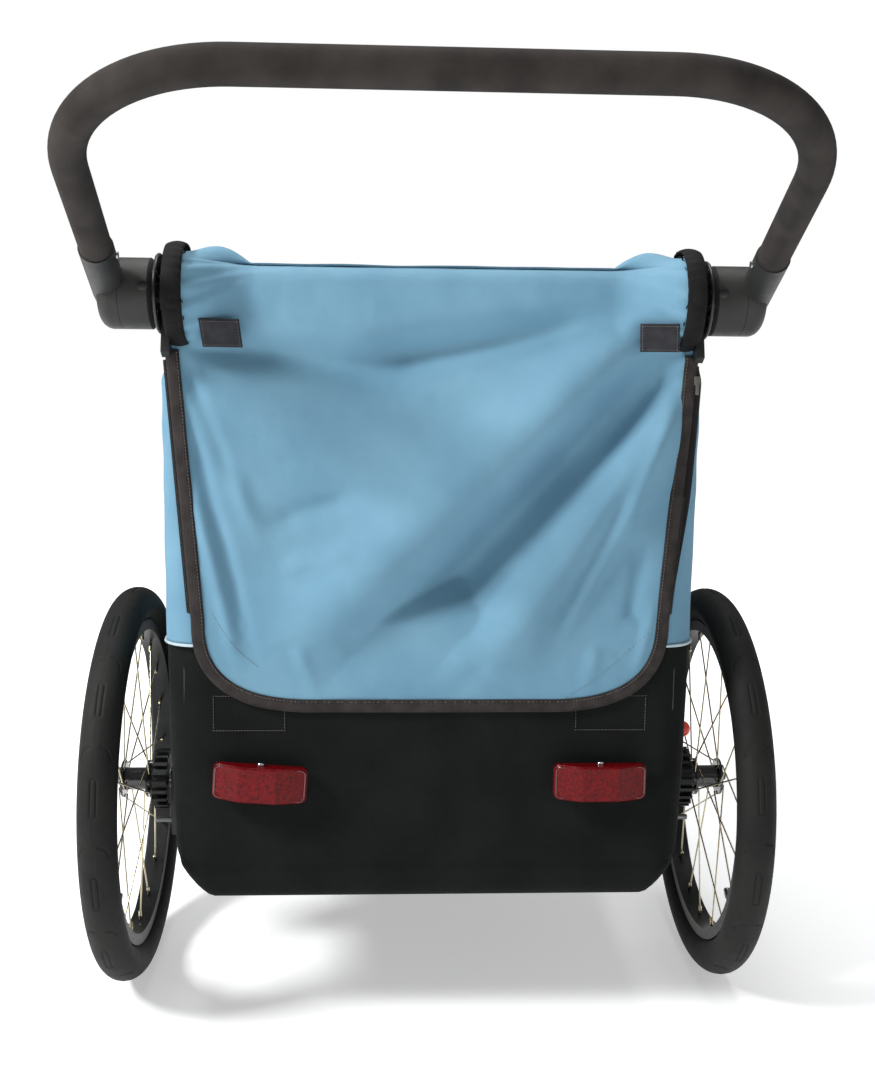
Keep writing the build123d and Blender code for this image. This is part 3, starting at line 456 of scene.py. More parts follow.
# Folds in the flap: start x and z, end x and z, half-width and height, all in millimetres.
FOLDS = [
    (235, 830, -170, 462, 46, 6.5), (262, 800, -80, 424, 30, -9), (268, 742, 40, 418, 34, 5.0),
    (-262, 808, -70, 782, 20, -4.5), (-90, 780, 215, 848, 26, -6.5), (205, 826, 268, 868, 11, 4.5),
    (215, 650, 116, 470, 9, -2.6), (232, 640, 146, 478, 9, 2.0), (100, 565, 32, 480, 9, -2.2),
    (256, 776, 186, 683, 8, -2.4), (266, 750, 212, 600, 9, 2.4), (236, 590, 220, 455, 9, -2.2),
    (-272, 785, -216, 645, 9, -3.0), (-262, 760, -196, 600, 10, 2.4), (-270, 725, -204, 470, 8, -2.4),
    (-262, 640, -216, 440, 8, 2.0), (-180, 610, -84, 640, 12, -2.0), (-165, 560, -90, 575, 10, 1.6),
    (-10, 470, -52, 415, 12, 1.8), (60, 450, 20, 408, 10, -1.6), (-150, 470, -128, 405, 9, 2.2),
    (188, 470, 176, 412, 9, 1.8), (252, 520, 232, 436, 7, 2.0),
]


def fold_height(x, z):
    """How far the flap's cloth stands out from its flat line, in metres."""
    height = 0
    for x0, z0, x1, z1, half, rise in FOLDS:
        run = Vector((x1 - x0, z1 - z0))
        away = Vector((x / MM - x0, z / MM - z0))
        share = away.dot(run) / run.length_squared
        aside = abs(away.x * run.y - away.y * run.x) / run.length
        ends = ease(share, -0.12, 0.22) * (1 - ease(share, 0.72, 1.14))
        height += rise * min(1, (half + 10) / 34) * exp(-(aside / half) ** 2) * ends
    return FOLD_RISE * height * MM


def flap_half(z):
    """Half-width of the flap at a height, before its rounded lower corners."""
    return mix(FLAP_LOW_HALF, FLAP_TOP_HALF, (z - CORNER_Z) / (FLAP_TOP_Z - CORNER_Z))


def flap_flat(side_share, down):
    """Point of the flap below the cuffs: side_share from -1 to 1, down from 0 to 1."""
    side = 1 if side_share > 0 else -1
    z = mix(FLAP_TOP_Z, HEM_Z, down)
    half = flap_half(max(z, CORNER_Z))
    x = abs(side_share) * half
    across = max(0, (x - (half - CORNER_WIDE)) / CORNER_WIDE)
    low = max(0, (CORNER_Z - z) / (CORNER_Z - HEM_Z))
    if across > 0 and low > 0:
        shrink = max(across, low) / (across ** CORNER_POWER + low ** CORNER_POWER) ** (1 / CORNER_POWER)
        x = half - CORNER_WIDE + across * shrink * CORNER_WIDE
        z = CORNER_Z - low * shrink * (CORNER_Z - HEM_Z)
    return Vector((side * x, FLAP_Y, z))


def flap_point(u, v):
    """Point of the flap's cloth, over the top bar, between the cuffs and down to the hem."""
    share = 2 * u - 1
    share = (1 if share > 0 else -1) * (1 - max(0, 1 - abs(share)) ** 1.25)
    if v < RING_SHARE:
        t = v / RING_SHARE
        wrap = radians(mix(90, 0, min(1, t * 2)))
        roll = BAR_TOP_Z - 8 * MM
        roll_r = 21 * MM
        bar = Vector((0, POST_Y - roll_r * cos(wrap) - 2 * MM, roll + roll_r * sin(wrap)))
        if t > 0.5:
            bar.z = mix(roll, FLAP_TOP_Z, (t - 0.5) * 2)
        turn = radians(mix(CUFF_LOW_TURN, -88, t))
        ring = Vector((0, HUB.y - CUFF_R * cos(turn), HUB.z + CUFF_R * sin(turn)))
        near = ease(abs(share), 0.70, 1.0)
        point = bar.lerp(ring, near)
        point.x = share * mix(CUFF_X, FLAP_TOP_HALF, ease(t, 0.8, 1.0) * 0.9)
        gap = (1 - abs(share)) * CUFF_X
        fade = exp(-gap / (30 * MM)) * ease(gap, 0, 7 * MM) * (1 - ease(t, 0.9, 1.0))
        pucker = 3.2 * MM * fade * sin(t * 34)
        point += Vector((0, cos(turn), -sin(turn))) * pucker
        blend_in = ease(t, 0.5, 1.0) * (1 - near)
    else:
        point = flap_flat(share, (v - RING_SHARE) / (1 - RING_SHARE))
        blend_in = 1
    rim = 1 - ease(abs(share), 0.93, 1.0)
    hem = 1 - ease(v, 0.93, 1.0)
    lift = fold_height(point.x, point.z) * blend_in * (0.25 + 0.75 * rim) * hem
    sag = -5 * MM * sin(pi * ease(v, 0.18, 0.98)) * rim * (1 - ease(abs(point.x), 0.15, 0.26))
    crumple = 0.7 * MM * ripple(point, 45 * MM, 3) + 0.35 * MM * ripple(point, 16 * MM, 9)
    over_tub = ease(point.z, SEAM_Z - 50 * MM, SEAM_Z + 25 * MM)
    depth = (lift + sag) * mix(0.35, 1, over_tub) + crumple
    floor_depth = mix(-0.5, -50, ease(point.z, SEAM_Z + 22 * MM, SEAM_Z + 95 * MM)) * MM
    depth = max(depth, floor_depth)
    point.y -= depth
    return point


def flap_edge(t):
    """Point of the flap's edge: t from 0 at the left cuff, round the hem, to 1 at the right cuff."""
    down = 0.46
    if t < down:
        return flap_point(0, mix(RING_SHARE, 1, t / down))
    if t > 1 - down:
        return flap_point(1, mix(RING_SHARE, 1, (1 - t) / down))
    return flap_point((t - down) / (1 - 2 * down), 1)


def flap_inward(t):
    """Direction from the flap's edge to its middle, along the cloth."""
    step = 0.004
    ahead = flap_edge(min(1, t + step)) - flap_edge(max(0, t - step))
    inward = ahead.cross(Vector((0, -1, 0)))
    inward.y = 0
    return inward.normalized() * -1


def cloth_finder(piece):
    """Function that gives the y of a piece's rear surface at x and z."""
    points = [vertex.co.copy() for vertex in piece.data.vertices]
    tree = BVHTree.FromPolygons(points, [list(face.vertices) for face in piece.data.polygons])

    def rear_y(x, z):
        hit = tree.ray_cast(Vector((x, -3, z)), Vector((0, 1, 0)))[0]
        return hit.y if hit else FLAP_Y
    return rear_y


EDGE_STEPS = 240
FINE_STEPS = 1500


def bend_with_fold(piece):
    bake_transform(piece)


def even_edge(count, low=0.0, high=1.0):
    """Values of t that space points evenly along the flap's edge."""
    fine = [mix(low, high, i / FINE_STEPS) for i in range(FINE_STEPS + 1)]
    points = [flap_edge(t) for t in fine]
    lengths = [0]
    for a, b in zip(points, points[1:]):
        lengths.append(lengths[-1] + (b - a).length)
    marks, index = [], 0
    for step in range(count + 1):
        goal = lengths[-1] * step / count
        while index < FINE_STEPS - 1 and lengths[index + 1] < goal:
            index += 1
        marks.append(fine[index])
    return marks, lengths[-1]


def make_flap():
    """Blue rear flap with its tape, stitching, seams, zips and patches."""
    cloth = sheet("rear_flap_cloth", 150, 150, flap_point, (0.58, 0.54), (0, -1, 0))
    thicken(cloth, 1.2 * MM)
    rear_y = cloth_finder(cloth)
    dress(cloth, COVER_CLOTH, None)
    bend_with_fold(cloth)
    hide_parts("rear_flap")

    marks, length = even_edge(EDGE_STEPS)
    tape_w = 15 * MM

    def tape_point(u, v):
        t = marks[round(u * EDGE_STEPS)]
        crown = 1.4 * MM * (1 - (2 * v - 1) ** 4)
        return flap_edge(t) + flap_inward(t) * (v * tape_w - 3 * MM) + Vector((0, -1.2 * MM - crown, 0))

    binding = sheet("flap_binding", EDGE_STEPS, 6, tape_point, (length, tape_w), (0, -1, 0))
    thicken(binding, 2.2 * MM)
    dress(binding, TAPE, None)
    bend_with_fold(binding)

    stitch_marks, _ = even_edge(330)
    rows = []
    for index, t in enumerate(stitch_marks[1:-1]):
        out = flap_edge(t) + flap_inward(t) * (tape_w - 5.5 * MM) + Vector((0, -2.9 * MM, 0))
        ahead = flap_edge(min(1, t + 0.002)) - flap_edge(max(0, t - 0.002))
        turn = atan2(ahead.z, ahead.x)
        rows.append(Matrix.Translation(out) @ Matrix.Rotation(-turn, 4, "Y"))
    stitch = block("stitch", (2.3 * MM, 0.7 * MM, 0.7 * MM), (0, 0, 0), 0.25 * MM, 1)
    stitches = row_of("binding_stitches", stitch, rows)
    dress(stitches, DARK_THREAD, None)
    bend_with_fold(stitches)

    corner_seams = []
    for x0, z0, x1, z1 in ((-246, 508, -196, 448), (256, 498, 150, 409)):
        for index in range(28):
            x = mix(x0, x1, index / 27) * MM
            z = (mix(z0, z1, index / 27) - 7 * sin(pi * index / 27)) * MM
            y = rear_y(x, z) - 0.2 * MM
            turn = atan2(z1 - z0, x1 - x0)
            corner_seams.append(Matrix.Translation((x, y, z)) @ Matrix.Rotation(-turn, 4, "Y"))
    stitch = block("stitch", (2.6 * MM, 0.8 * MM, 0.8 * MM), (0, 0, 0), 0.25 * MM, 1)
    seams = row_of("corner_stitches", stitch, corner_seams)
    dress(seams, THREAD, None)
    bend_with_fold(seams)

    for side, name in ((-1, "left"), (1, "right")):
        make_patch(side, name, rear_y)
        make_zip(side, name)


def make_patch(side, name, rear_y):
    """Hook-and-loop patch sewn to the flap's upper corner."""
    wide, high = 42 * MM, 29 * MM
    at = Vector((side * (230 if side < 0 else 243) * MM, 0, 815 * MM))
    lean = radians(4 if side < 0 else -8)

    def spot(u, v):
        return at.x + (u - 0.5) * wide + (v - 0.5) * high * sin(lean) * side, at.z + (v - 0.5) * high

    shares = [(a / 4, b / 4) for a in range(5) for b in range(5)]
    found = [rear_y(*spot(u, v)) for u, v in shares]
    usual = sorted(found)[len(found) // 2]
    hits = list(found)
    found = [min(usual + 9 * MM, max(usual - 9 * MM, y)) for y in found]
    tilt_u = sum(y * (u - 0.5) for (u, v), y in zip(shares, found)) / sum((u - 0.5) ** 2 for u, v in shares)
    tilt_v = sum(y * (v - 0.5) for (u, v), y in zip(shares, found)) / sum((v - 0.5) ** 2 for u, v in shares)
    level = sum(found) / len(found)
    proud = max(level + tilt_u * (u - 0.5) + tilt_v * (v - 0.5) - y for (u, v), y in zip(shares, hits))

    def flat_place(u, v):
        x, z = spot(u, v)
        return Vector((x, level + tilt_u * (u - 0.5) + tilt_v * (v - 0.5) - proud - 1.2 * MM, z))

    patch = thicken(sheet(f"hook_patch_{name}", 10, 8, flat_place, (wide, high), (0, -1, 0)), 1.6 * MM)
    dress(patch, HOOK_PATCH, "rear_frame")
    border = []
    for u, v, turn in ([(i / 15, s, 0) for i in range(16) for s in (0.08, 0.92)]
                       + [(s, i / 10, pi / 2) for i in range(11) for s in (0.06, 0.94)]):
        point = flat_place(min(0.94, max(0.06, u)), min(0.92, max(0.08, v)))
        border.append(Matrix.Translation(point + Vector((0, -0.3 * MM, 0)))
                      @ Matrix.Rotation(turn, 4, "Y"))
    stitch = block("stitch", (1.9 * MM, 0.6 * MM, 0.6 * MM), (0, 0, 0), 0.2 * MM, 1)
    sewn = row_of(f"patch_stitches_{name}", stitch, border)
    dress(sewn, DARK_THREAD, "rear_frame")


# ---- side covers ----
def lower_line(y):
    """Height of the seam between tub and cover."""
    fall = (y - SEAM_BEND_Y) / (TUB_NOSE - SEAM_BEND_Y)
    return SEAM_Z + 0.6 * MM - max(0, fall) * (SEAM_Z - NOSE_Z)


def upper_line(y):
    """Height of the cover's side at its top edge."""
    top = ROOF_Z - 7 * MM
    if y < HOOP_TOP_Y:
        return top
    if y < HOOP_FOOT.y:
        return mix(top, HOOP_FOOT.z, (y - HOOP_TOP_Y) / (HOOP_FOOT.y - HOOP_TOP_Y))
    return mix(HOOP_FOOT.z, NOSE_Z + 1 * MM, (y - HOOP_FOOT.y) / (TUB_NOSE - HOOP_FOOT.y))


def side_rear(z):
    """Where a side cover starts at the back: the zip below, the cuff's front half above."""
    high = z - HUB.z
    if abs(high) < CUFF_R:
        return HUB.y + sqrt(CUFF_R ** 2 - high ** 2)
    return TUB_REAR - 1 * MM if high < 0 else HUB.y


def side_half(y, z):
    """Half-width of the cover at a place on its side, drawn in to the cuff."""
    edge = flap_half(max(z, CORNER_Z)) - 2 * MM
    round_r = 42 * MM
    t = min(1, max(0, (y - TUB_REAR + 1 * MM) / round_r))
    half = mix(edge, SIDE_HALF - 1 * MM, sqrt(1 - (1 - t) ** 2))
    from_hub = hypot(y - HUB.y, z - HUB.z)
    draw = ease(from_hub, CUFF_R, CUFF_R + 46 * MM)
    half = mix(CUFF_X, half, draw)
    belly = sin(pi * min(1, max(0, (z - SEAM_Z) / (ROOF_Z - SEAM_Z)))) * ease(y, -0.16, 0.0)
    return half - 5 * MM * belly * (1 - ease(y, 0.30, 0.5))


def side_point(side, u, v):
    flat_y = mix(TUB_REAR - 1 * MM, TUB_NOSE - 4 * MM, u ** 1.5)
    z = mix(lower_line(flat_y), upper_line(flat_y) + 14 * MM * (1 - ease(flat_y, -0.19, -0.10)), v)
    y = flat_y + (side_rear(z) - TUB_REAR + 1 * MM) * (1 - u) ** 5
    x = side_half(y, z)
    from_hub = hypot(y - HUB.y, z - HUB.z) - CUFF_R
    turn = atan2(z - HUB.z, y - HUB.y)
    gather = exp(-abs(from_hub) / (26 * MM)) * ease(abs(from_hub), 0, 8 * MM)
    x -= 2.6 * MM * gather * (1 + sin(turn * 15))
    x += 1.0 * MM * ripple((side, y, z), 60 * MM, 5) * ease(v, 0, 0.1)
    x += 2.2 * MM * sin((y + 1.3 * z) * 70) * exp(-abs(z - 0.72) / 0.08) * exp(-abs(y + 0.14) / 0.05)
    return Vector((side * x, y, z))


WINDOW_REAR = AXLE.y - 95 * MM
WINDOW_FRONT = AXLE.y + 300 * MM
WINDOW_HEM = 44 * MM            # cloth left between the window and the hoop's slope
WINDOW_LOW = SEAM_Z + 62 * MM
WINDOW_TOP = 812 * MM
WINDOW_CORNER = 4.5


def window_front(z):
    """Front edge of the side window at a height: upright below, along the hoop's slope above."""
    fall = (ROOF_Z - 7 * MM - z) / (ROOF_Z - 7 * MM - HOOP_FOOT.z)
    return min(WINDOW_FRONT, mix(HOOP_TOP_Y, HOOP_FOOT.y, fall) - WINDOW_HEM)


def window_outline(turn, grow=0.0):
    """Point y, z on the side window's rounded outline."""
    mid_z, half_z = (WINDOW_LOW + WINDOW_TOP) / 2, (WINDOW_TOP - WINDOW_LOW) / 2 + grow
    c, s = cos(turn), sin(turn)
    size = (abs(c) ** WINDOW_CORNER + abs(s) ** WINDOW_CORNER) ** (-1 / WINDOW_CORNER)
    z = mid_z + s * size * half_z
    return mix(WINDOW_REAR - grow, window_front(z) + grow, (c * size + 1) / 2), z


def in_window(y, z):
    mid_z, half_z = (WINDOW_LOW + WINDOW_TOP) / 2, (WINDOW_TOP - WINDOW_LOW) / 2
    b = (z - mid_z) / half_z
    a = 2 * (y - WINDOW_REAR) / (window_front(z) - WINDOW_REAR) - 1
    return abs(b) < 1 and abs(a) ** WINDOW_CORNER + abs(b) ** WINDOW_CORNER < 1


def cut_window(piece, inside):
    """Removes the faces whose middles lie inside the window."""
    take(piece)
    for face in piece.data.polygons:
        face.select = inside(face.center)
    bpy.ops.object.mode_set(mode="EDIT")
    bpy.ops.mesh.select_mode(type="FACE")
    bpy.ops.object.mode_set(mode="OBJECT")
    for face in piece.data.polygons:
        face.select = inside(face.center)
    bpy.ops.object.mode_set(mode="EDIT")
    bpy.ops.mesh.delete(type="FACE")
    bpy.ops.object.mode_set(mode="OBJECT")


def fold_down(piece):
    """Gives a side cover piece its own copy of its mesh."""
    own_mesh(piece)


def make_side(side, name):
    cover = sheet(f"side_cover_{name}", 120, 90, lambda u, v: side_point(side, u, v), (0.80, 0.45),
                  (side, 0, 0))
    cut_window(cover, lambda c: in_window(c.y, c.z))
    thicken(cover, 1.2 * MM)
    dress(cover, COVER_CLOTH, "chassis")
    fold_down(cover)

    def pane_point(u, v):
        turn = 2 * pi * u
        y, z = window_outline(turn, 4 * MM)
        mid_z = (WINDOW_LOW + WINDOW_TOP) / 2
        mid_y = (WINDOW_REAR + window_front(mid_z)) / 2
        y, z = mix(mid_y, y, v), mix(mid_z, z, v)
        bow = 3 * MM * (1 - v * v)
        return Vector((side * (side_half(y, z) - 1.0 * MM - bow), y, z))

    pane = sheet(f"side_window_{name}", 96, 12, pane_point, (0.35, 0.28), (side, 0, 0), True)
    thicken(pane, 0.6 * MM)
    dress(pane, WINDOW, "chassis")
    fold_down(pane)

    def border_point(u, v):
        y, z = window_outline(2 * pi * u, mix(-7, 9, v) * MM)
        return Vector((side * (side_half(y, z) + 0.8 * MM + 1.3 * MM * (1 - (2 * v - 1) ** 4)), y, z))

    border = sheet(f"window_binding_{name}", 120, 5, border_point, (1.1, 0.016), (side, 0, 0), True)
    thicken(border, 1.5 * MM)
    dress(border, TAPE, "chassis")
    fold_down(border)

    line = [Vector((side * (TUB_HALF + 1.2 * MM), y, lower_line(y)))
            for y in (mix(TUB_REAR + 45 * MM, TUB_NOSE - 55 * MM, i / 60) for i in range(61))]
    corner = [side_point(side, u / 400, 0) + Vector((side * 0.8 * MM, -0.8 * MM, 0)) for u in range(0, 54, 2)]
    welt = piping(f"seam_piping_{name}", corner + line, 1.8 * MM)
    dress(welt, PIPING, "chassis")


ZIP_LOW, ZIP_HIGH = 508 * MM, 786 * MM
SLIDER_Z = 770 * MM


def beside_flap(side, z, out, lift=0.0):
    """Point on the cover's rounded rear edge, out beyond the flap's edge."""
    reach = SIDE_HALF - flap_half(z)
    share = min(0.98, max(0, out / reach))
    back = TUB_REAR - 1 * MM + 42 * MM * (1 - sqrt(1 - share ** 2))
    return Vector((side * (flap_half(z) + out), back - lift, z))


def make_zip(side, name):
    """Zip between a side cover and the flap: shut on the left, run open at the top on the right."""
    def gap(z):
        if side < 0:
            return 7 * MM
        return (5 + 8 * ease(z, ZIP_LOW, 0.66) * (1 - ease(z, 0.765, ZIP_HIGH))) * MM

    def tape_point(u, v):
        z = mix(ZIP_LOW, ZIP_HIGH, u)
        return beside_flap(side, z, mix(-4 * MM, gap(z), v), 1.4 * MM)

    band = thicken(sheet(f"zip_tape_{name}", 60, 5, tape_point, (0.28, 0.012), (0, -1, 0)), 0.8 * MM)
    dress(band, ELASTIC, None)
    bend_with_fold(band)
    top = ZIP_HIGH if side < 0 else 0.64
    count = int((top - ZIP_LOW) / (2.5 * MM))
    teeth = [Matrix.Translation(beside_flap(side, mix(ZIP_LOW, top, i / count), (3.6 + 0.5 * (i % 2)) * MM,
                                            2.2 * MM)) for i in range(count + 1)]
    tooth = block("tooth", (3.4 * MM, 1.6 * MM, 1.5 * MM), (0, 0, 0), 0.4 * MM, 1)
    chain = row_of(f"zip_teeth_{name}", tooth, teeth)
    dress(chain, ZIP, None)
    bend_with_fold(chain)
    if side > 0:
        slider_at = beside_flap(side, SLIDER_Z, 4 * MM, 4 * MM)
        body = block("slider", (7 * MM, 3.5 * MM, 10 * MM), slider_at, 1.4 * MM)
        hang = slider_at + Vector((0, -1.8 * MM, -9 * MM))
        pull = block("pull", (4 * MM, 1.2 * MM, 13 * MM), hang, 0.6 * MM)
        slider = merge(f"zip_slider_{name}", [body, pull])
        dress(slider, BUTTON_GREY, "rear_frame")


# ---- roof and front cover ----
ROOF_TURN = 0.94                # share of the half-width where the roof turns down


def roof_point(u, v):
    """Roof cloth from the flap's top line, round the cuffs, forward to the hoop."""
    share = 2 * u - 1
    side = 1 if share > 0 else -1
    rear_share = 0.26
    front_y = HOOP_TOP_Y + 4 * MM
    if v < rear_share:
        t = v / rear_share
        turn = radians(mix(180 - CUFF_LOW_TURN, 40, t))
        edge = Vector((CUFF_X, HUB.y + CUFF_R * cos(turn), HUB.z + CUFF_R * sin(turn)))
        y_mid = mix(POST_Y - 2 * MM, edge.y, t)
        z_mid = BAR_TOP_Z - 8 * MM + 21 * MM
        z_mid = mix(z_mid, ROOF_Z, t)
    else:
        t = (v - rear_share) / (1 - rear_share)
        foot = Vector((CUFF_X, HUB.y + CUFF_R * cos(radians(40)), HUB.z + CUFF_R * sin(radians(40))))
        y_mid = mix(foot.y, front_y, t)
        edge = Vector((mix(foot.x, SIDE_HALF, ease(t, 0, 0.22)), y_mid,
                       mix(foot.z, ROOF_Z - 20 * MM, ease(t, 0, 0.15))))
        z_mid = ROOF_Z
    near = max(0, (abs(share) - 0.72) / 0.28)
    crest = sin(pi * min(1, near * 1.15)) * 17 * MM * (1 - ease(v, 0.26, 0.62)) * ease(v, 0.0, 0.16)
    x = abs(share) * edge.x
    z = z_mid - (z_mid - edge.z) * near ** 3 + crest
    y = mix(y_mid, edge.y, ease(near, 0, 1))
    if v > rear_share:
        roll = ease(v, rear_share, 0.45)
        fall = 1 - sqrt(max(0, 1 - near ** 4))
        z = mix(z, z_mid - (z_mid - edge.z) * fall, roll)
        spread = edge.x * abs(share) / ROOF_TURN if abs(share) < ROOF_TURN else edge.x + 1 * MM
        x = mix(x, spread, roll)
    middle_sag = 7 * MM * sin(pi * ease(v, 0.1, 1.0)) * (1 - abs(share) ** 2)
    flutter = 1.5 * MM * ripple((x * side, y, 0), 70 * MM, 7) * (1 - near)
    return Vector((side * x, y, z - middle_sag + flutter))


def make_roof():
    roof = sheet("roof_cloth", 120, 90, roof_point, (0.66, 0.30), (0, 0, 1))
    thicken(roof, 1.2 * MM)
    dress(roof, COVER_CLOTH, "rear_frame")
    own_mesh(roof)
    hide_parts("upper_cover")
    visor = []
    for i in range(81):
        point = roof_point(i / 80, 1)
        visor.append(point + Vector((0, 1.5 * MM, 0.5 * MM)))
    lip = piping("roof_front_piping", visor, 3.0 * MM)
    dress(lip, TAPE, "rear_frame")
    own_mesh(lip)


def make_cuffs():
    """Elastic bands that gather the cover round the handlebar hubs."""
    for side, name in ((-1, "left"), (1, "right")):
        def band_point(u, v):
            turn = 2 * pi * u
            puff = 0.5 * MM * sin(turn * 32) + 0.3 * MM * sin(turn * 11)
            crown = 2.6 * MM * (1 - (2 * v - 1) ** 2)
            radius = CUFF_R + 1.4 * MM + crown + puff * (1 - v)
            x = CUFF_X - 10 * MM + 20 * MM * v
            return Vector((side * x, HUB.y + radius * cos(turn), HUB.z + radius * sin(turn)))

        band = sheet(f"cuff_band_{name}", 192, 8, band_point, (0.32, 0.016), None, True)
        thicken(band, 2.2 * MM, 0)
        dress(band, ELASTIC, "rear_frame")

        def lining_point(u, v):
            turn = 2 * pi * u
            radius = mix(22 * MM, CUFF_R - 3 * MM, v)
            x = CUFF_X - 9 * MM + 5 * MM * sin(pi * v) + 1.6 * MM * sin(turn * 18) * v
            return Vector((side * x, HUB.y + radius * cos(turn), HUB.z + radius * sin(turn)))

        lining = sheet(f"cuff_lining_{name}", 144, 10, lining_point, (0.24, 0.03), (side, 0, 0), True)
        thicken(lining, 0.8 * MM)
        dress(lining, TUB_CLOTH, "rear_frame")
        vents = []
        for index in range(18):
            turn = 2 * pi * index / 18
            vents.append(Matrix.Translation((side * 296.5 * MM, HUB.y, HUB.z))
                         @ Matrix.Rotation(turn, 4, "X") @ Matrix.Translation((0, 0, 33 * MM)))
        fin = block("fin", (6 * MM, 2.4 * MM, 17 * MM), (0, 0, 0), 0.8 * MM, 2)
        fins = row_of("fins", fin, vents)
        rim = piping("rim", [Vector((side * 296.5 * MM, HUB.y + 41 * MM * cos(a), HUB.z + 41 * MM * sin(a)))
                             for a in (2 * pi * i / 72 for i in range(72))], 2.2 * MM, True)
        cage = merge(f"hub_vents_{name}", [fins, rim])
        dress(cage, DARK_PLASTIC, "rear_frame")
        # Black disc on the hub's rear face where a hole is: its black is painted shade for the dark inside of
        # the hole.
        hole = disc(f"hub_hole_shade_{name}", 5.2 * MM, 3 * MM,
                    (side * 309 * MM, HUB.y - 36.9 * MM * cos(radians(4)), HUB.z + 6 * MM), "Y")
        dress(hole, ZIP, "rear_frame")


FRONT_HALF = 284 * MM


def front_point(u, v):
    """Front cover, from the hoop's top down its legs to the nose."""
    x = (2 * u - 1) * FRONT_HALF
    top = Vector((0, HOOP_TOP_Y - 4 * MM, ROOF_Z - 5 * MM))
    nose = Vector((0, TUB_NOSE - 1 * MM, NOSE_Z + 2 * MM))
    knee = HOOP_FOOT + Vector((0, -1 * MM, 1 * MM))
    bend = 0.86
    point = top.lerp(knee, v / bend) if v < bend else knee.lerp(nose, (v - bend) / (1 - bend))
    inward = Vector((0, -0.7, -0.7)) * 8 * MM * sin(pi * min(1, v / bend)) * (1 - (2 * u - 1) ** 2)
    point = point + inward + Vector((0, 0.7, 0.7)) * 1.0 * MM * ripple((x, v, 0), 80 * MM, 2)
    edge = ease(abs(2 * u - 1), 0.90, 1.0)
    side = 1 if u > 0.5 else -1
    return Vector((x + side * 12 * MM * edge, point.y - 6 * MM * edge, point.z - 6 * MM * edge))


def make_front():
    """Blue front cover with its screen and binding."""
    low_v, high_v, half_u = 0.10, 0.66, 0.40

    def inside(c):
        v = (HOOP_TOP_Y - 4 * MM - c.y) / (HOOP_TOP_Y - 4 * MM - HOOP_FOOT.y) * 0.86
        a = (v - (low_v + high_v) / 2) / ((high_v - low_v) / 2)
        b = c.x / (2 * half_u * FRONT_HALF)
        return abs(a) ** 5 + abs(b) ** 5 < 1

    cover = sheet("front_cover_cloth", 96, 110, front_point, (0.60, 0.76), (0, 1, 1))
    cut_window(cover, inside)
    thicken(cover, 1.2 * MM)
    dress(cover, COVER_CLOTH, None)
    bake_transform(cover)
    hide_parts("front_cover")

    def around(turn, grow):
        c, s = cos(turn), sin(turn)
        size = (abs(c) ** 5 + abs(s) ** 5) ** -0.2
        u = 0.5 + c * size * (half_u + grow / (2 * FRONT_HALF))
        v = (low_v + high_v) / 2 + s * size * ((high_v - low_v) / 2 + grow / 0.76)
        return u, v

    def screen_point(u, v):
        a, b = around(2 * pi * u, 5 * MM)
        a, b = mix(0.5, a, v), mix((low_v + high_v) / 2, b, v)
        return front_point(a, b) + Vector((0, -1.0 * MM, -1.0 * MM))

    screen = thicken(sheet("front_screen", 96, 12, screen_point, (0.46, 0.42), (0, 1, 1), True), 0.6 * MM)
    dress(screen, SCREEN, "front_hoop")

    def border_point(u, v):
        a, b = around(2 * pi * u, mix(-7, 9, v) * MM)
        rise = 0.5 * MM + 1.2 * MM * (1 - (2 * v - 1) ** 4)
        return front_point(a, b) + Vector((0, rise, rise))

    border = thicken(sheet("screen_binding", 140, 5, border_point, (1.7, 0.016), (0, 1, 1), True), 1.5 * MM)
    dress(border, TAPE, "front_hoop")


# ---- tub ----
TUB_REAR_CORNER = 42 * MM
TUB_NOSE_CORNER = 55 * MM
WALL_SHARE = 0.60
BEND_SHARE = 0.82


def tub_plan(u):
    """Plan point and outward direction at share u round the tub, from the back's middle."""
    half = 294 * MM
    rear_r, nose_r = TUB_REAR_CORNER, TUB_NOSE_CORNER
    rear, nose = TUB_REAR, TUB_NOSE
    side = 1 if u < 0.5 else -1
    s = (u if u < 0.5 else 1 - u) * 2
    parts = [half - rear_r, rear_r * pi / 2, nose - rear - rear_r - nose_r, nose_r * pi / 2, half - nose_r]
    run = s * sum(parts)
    if run <= parts[0]:
        point, out = Vector((run, rear)), Vector((0, -1))
    elif run <= sum(parts[:2]):
        turn = (run - parts[0]) / rear_r
        out = Vector((sin(turn), -cos(turn)))
        point = Vector((half - rear_r, rear + rear_r)) + out * rear_r
    elif run <= sum(parts[:3]):
        point, out = Vector((half, rear + rear_r + run - sum(parts[:2]))), Vector((1, 0))
    elif run <= sum(parts[:4]):
        turn = (run - sum(parts[:3])) / nose_r
        out = Vector((cos(turn), sin(turn)))
        point = Vector((half - nose_r, nose - nose_r)) + out * nose_r
    else:
        point, out = Vector((half - nose_r - (run - sum(parts[:4])), nose)), Vector((0, 1))
    return Vector((side * point.x, point.y)), Vector((side * out.x, out.y))


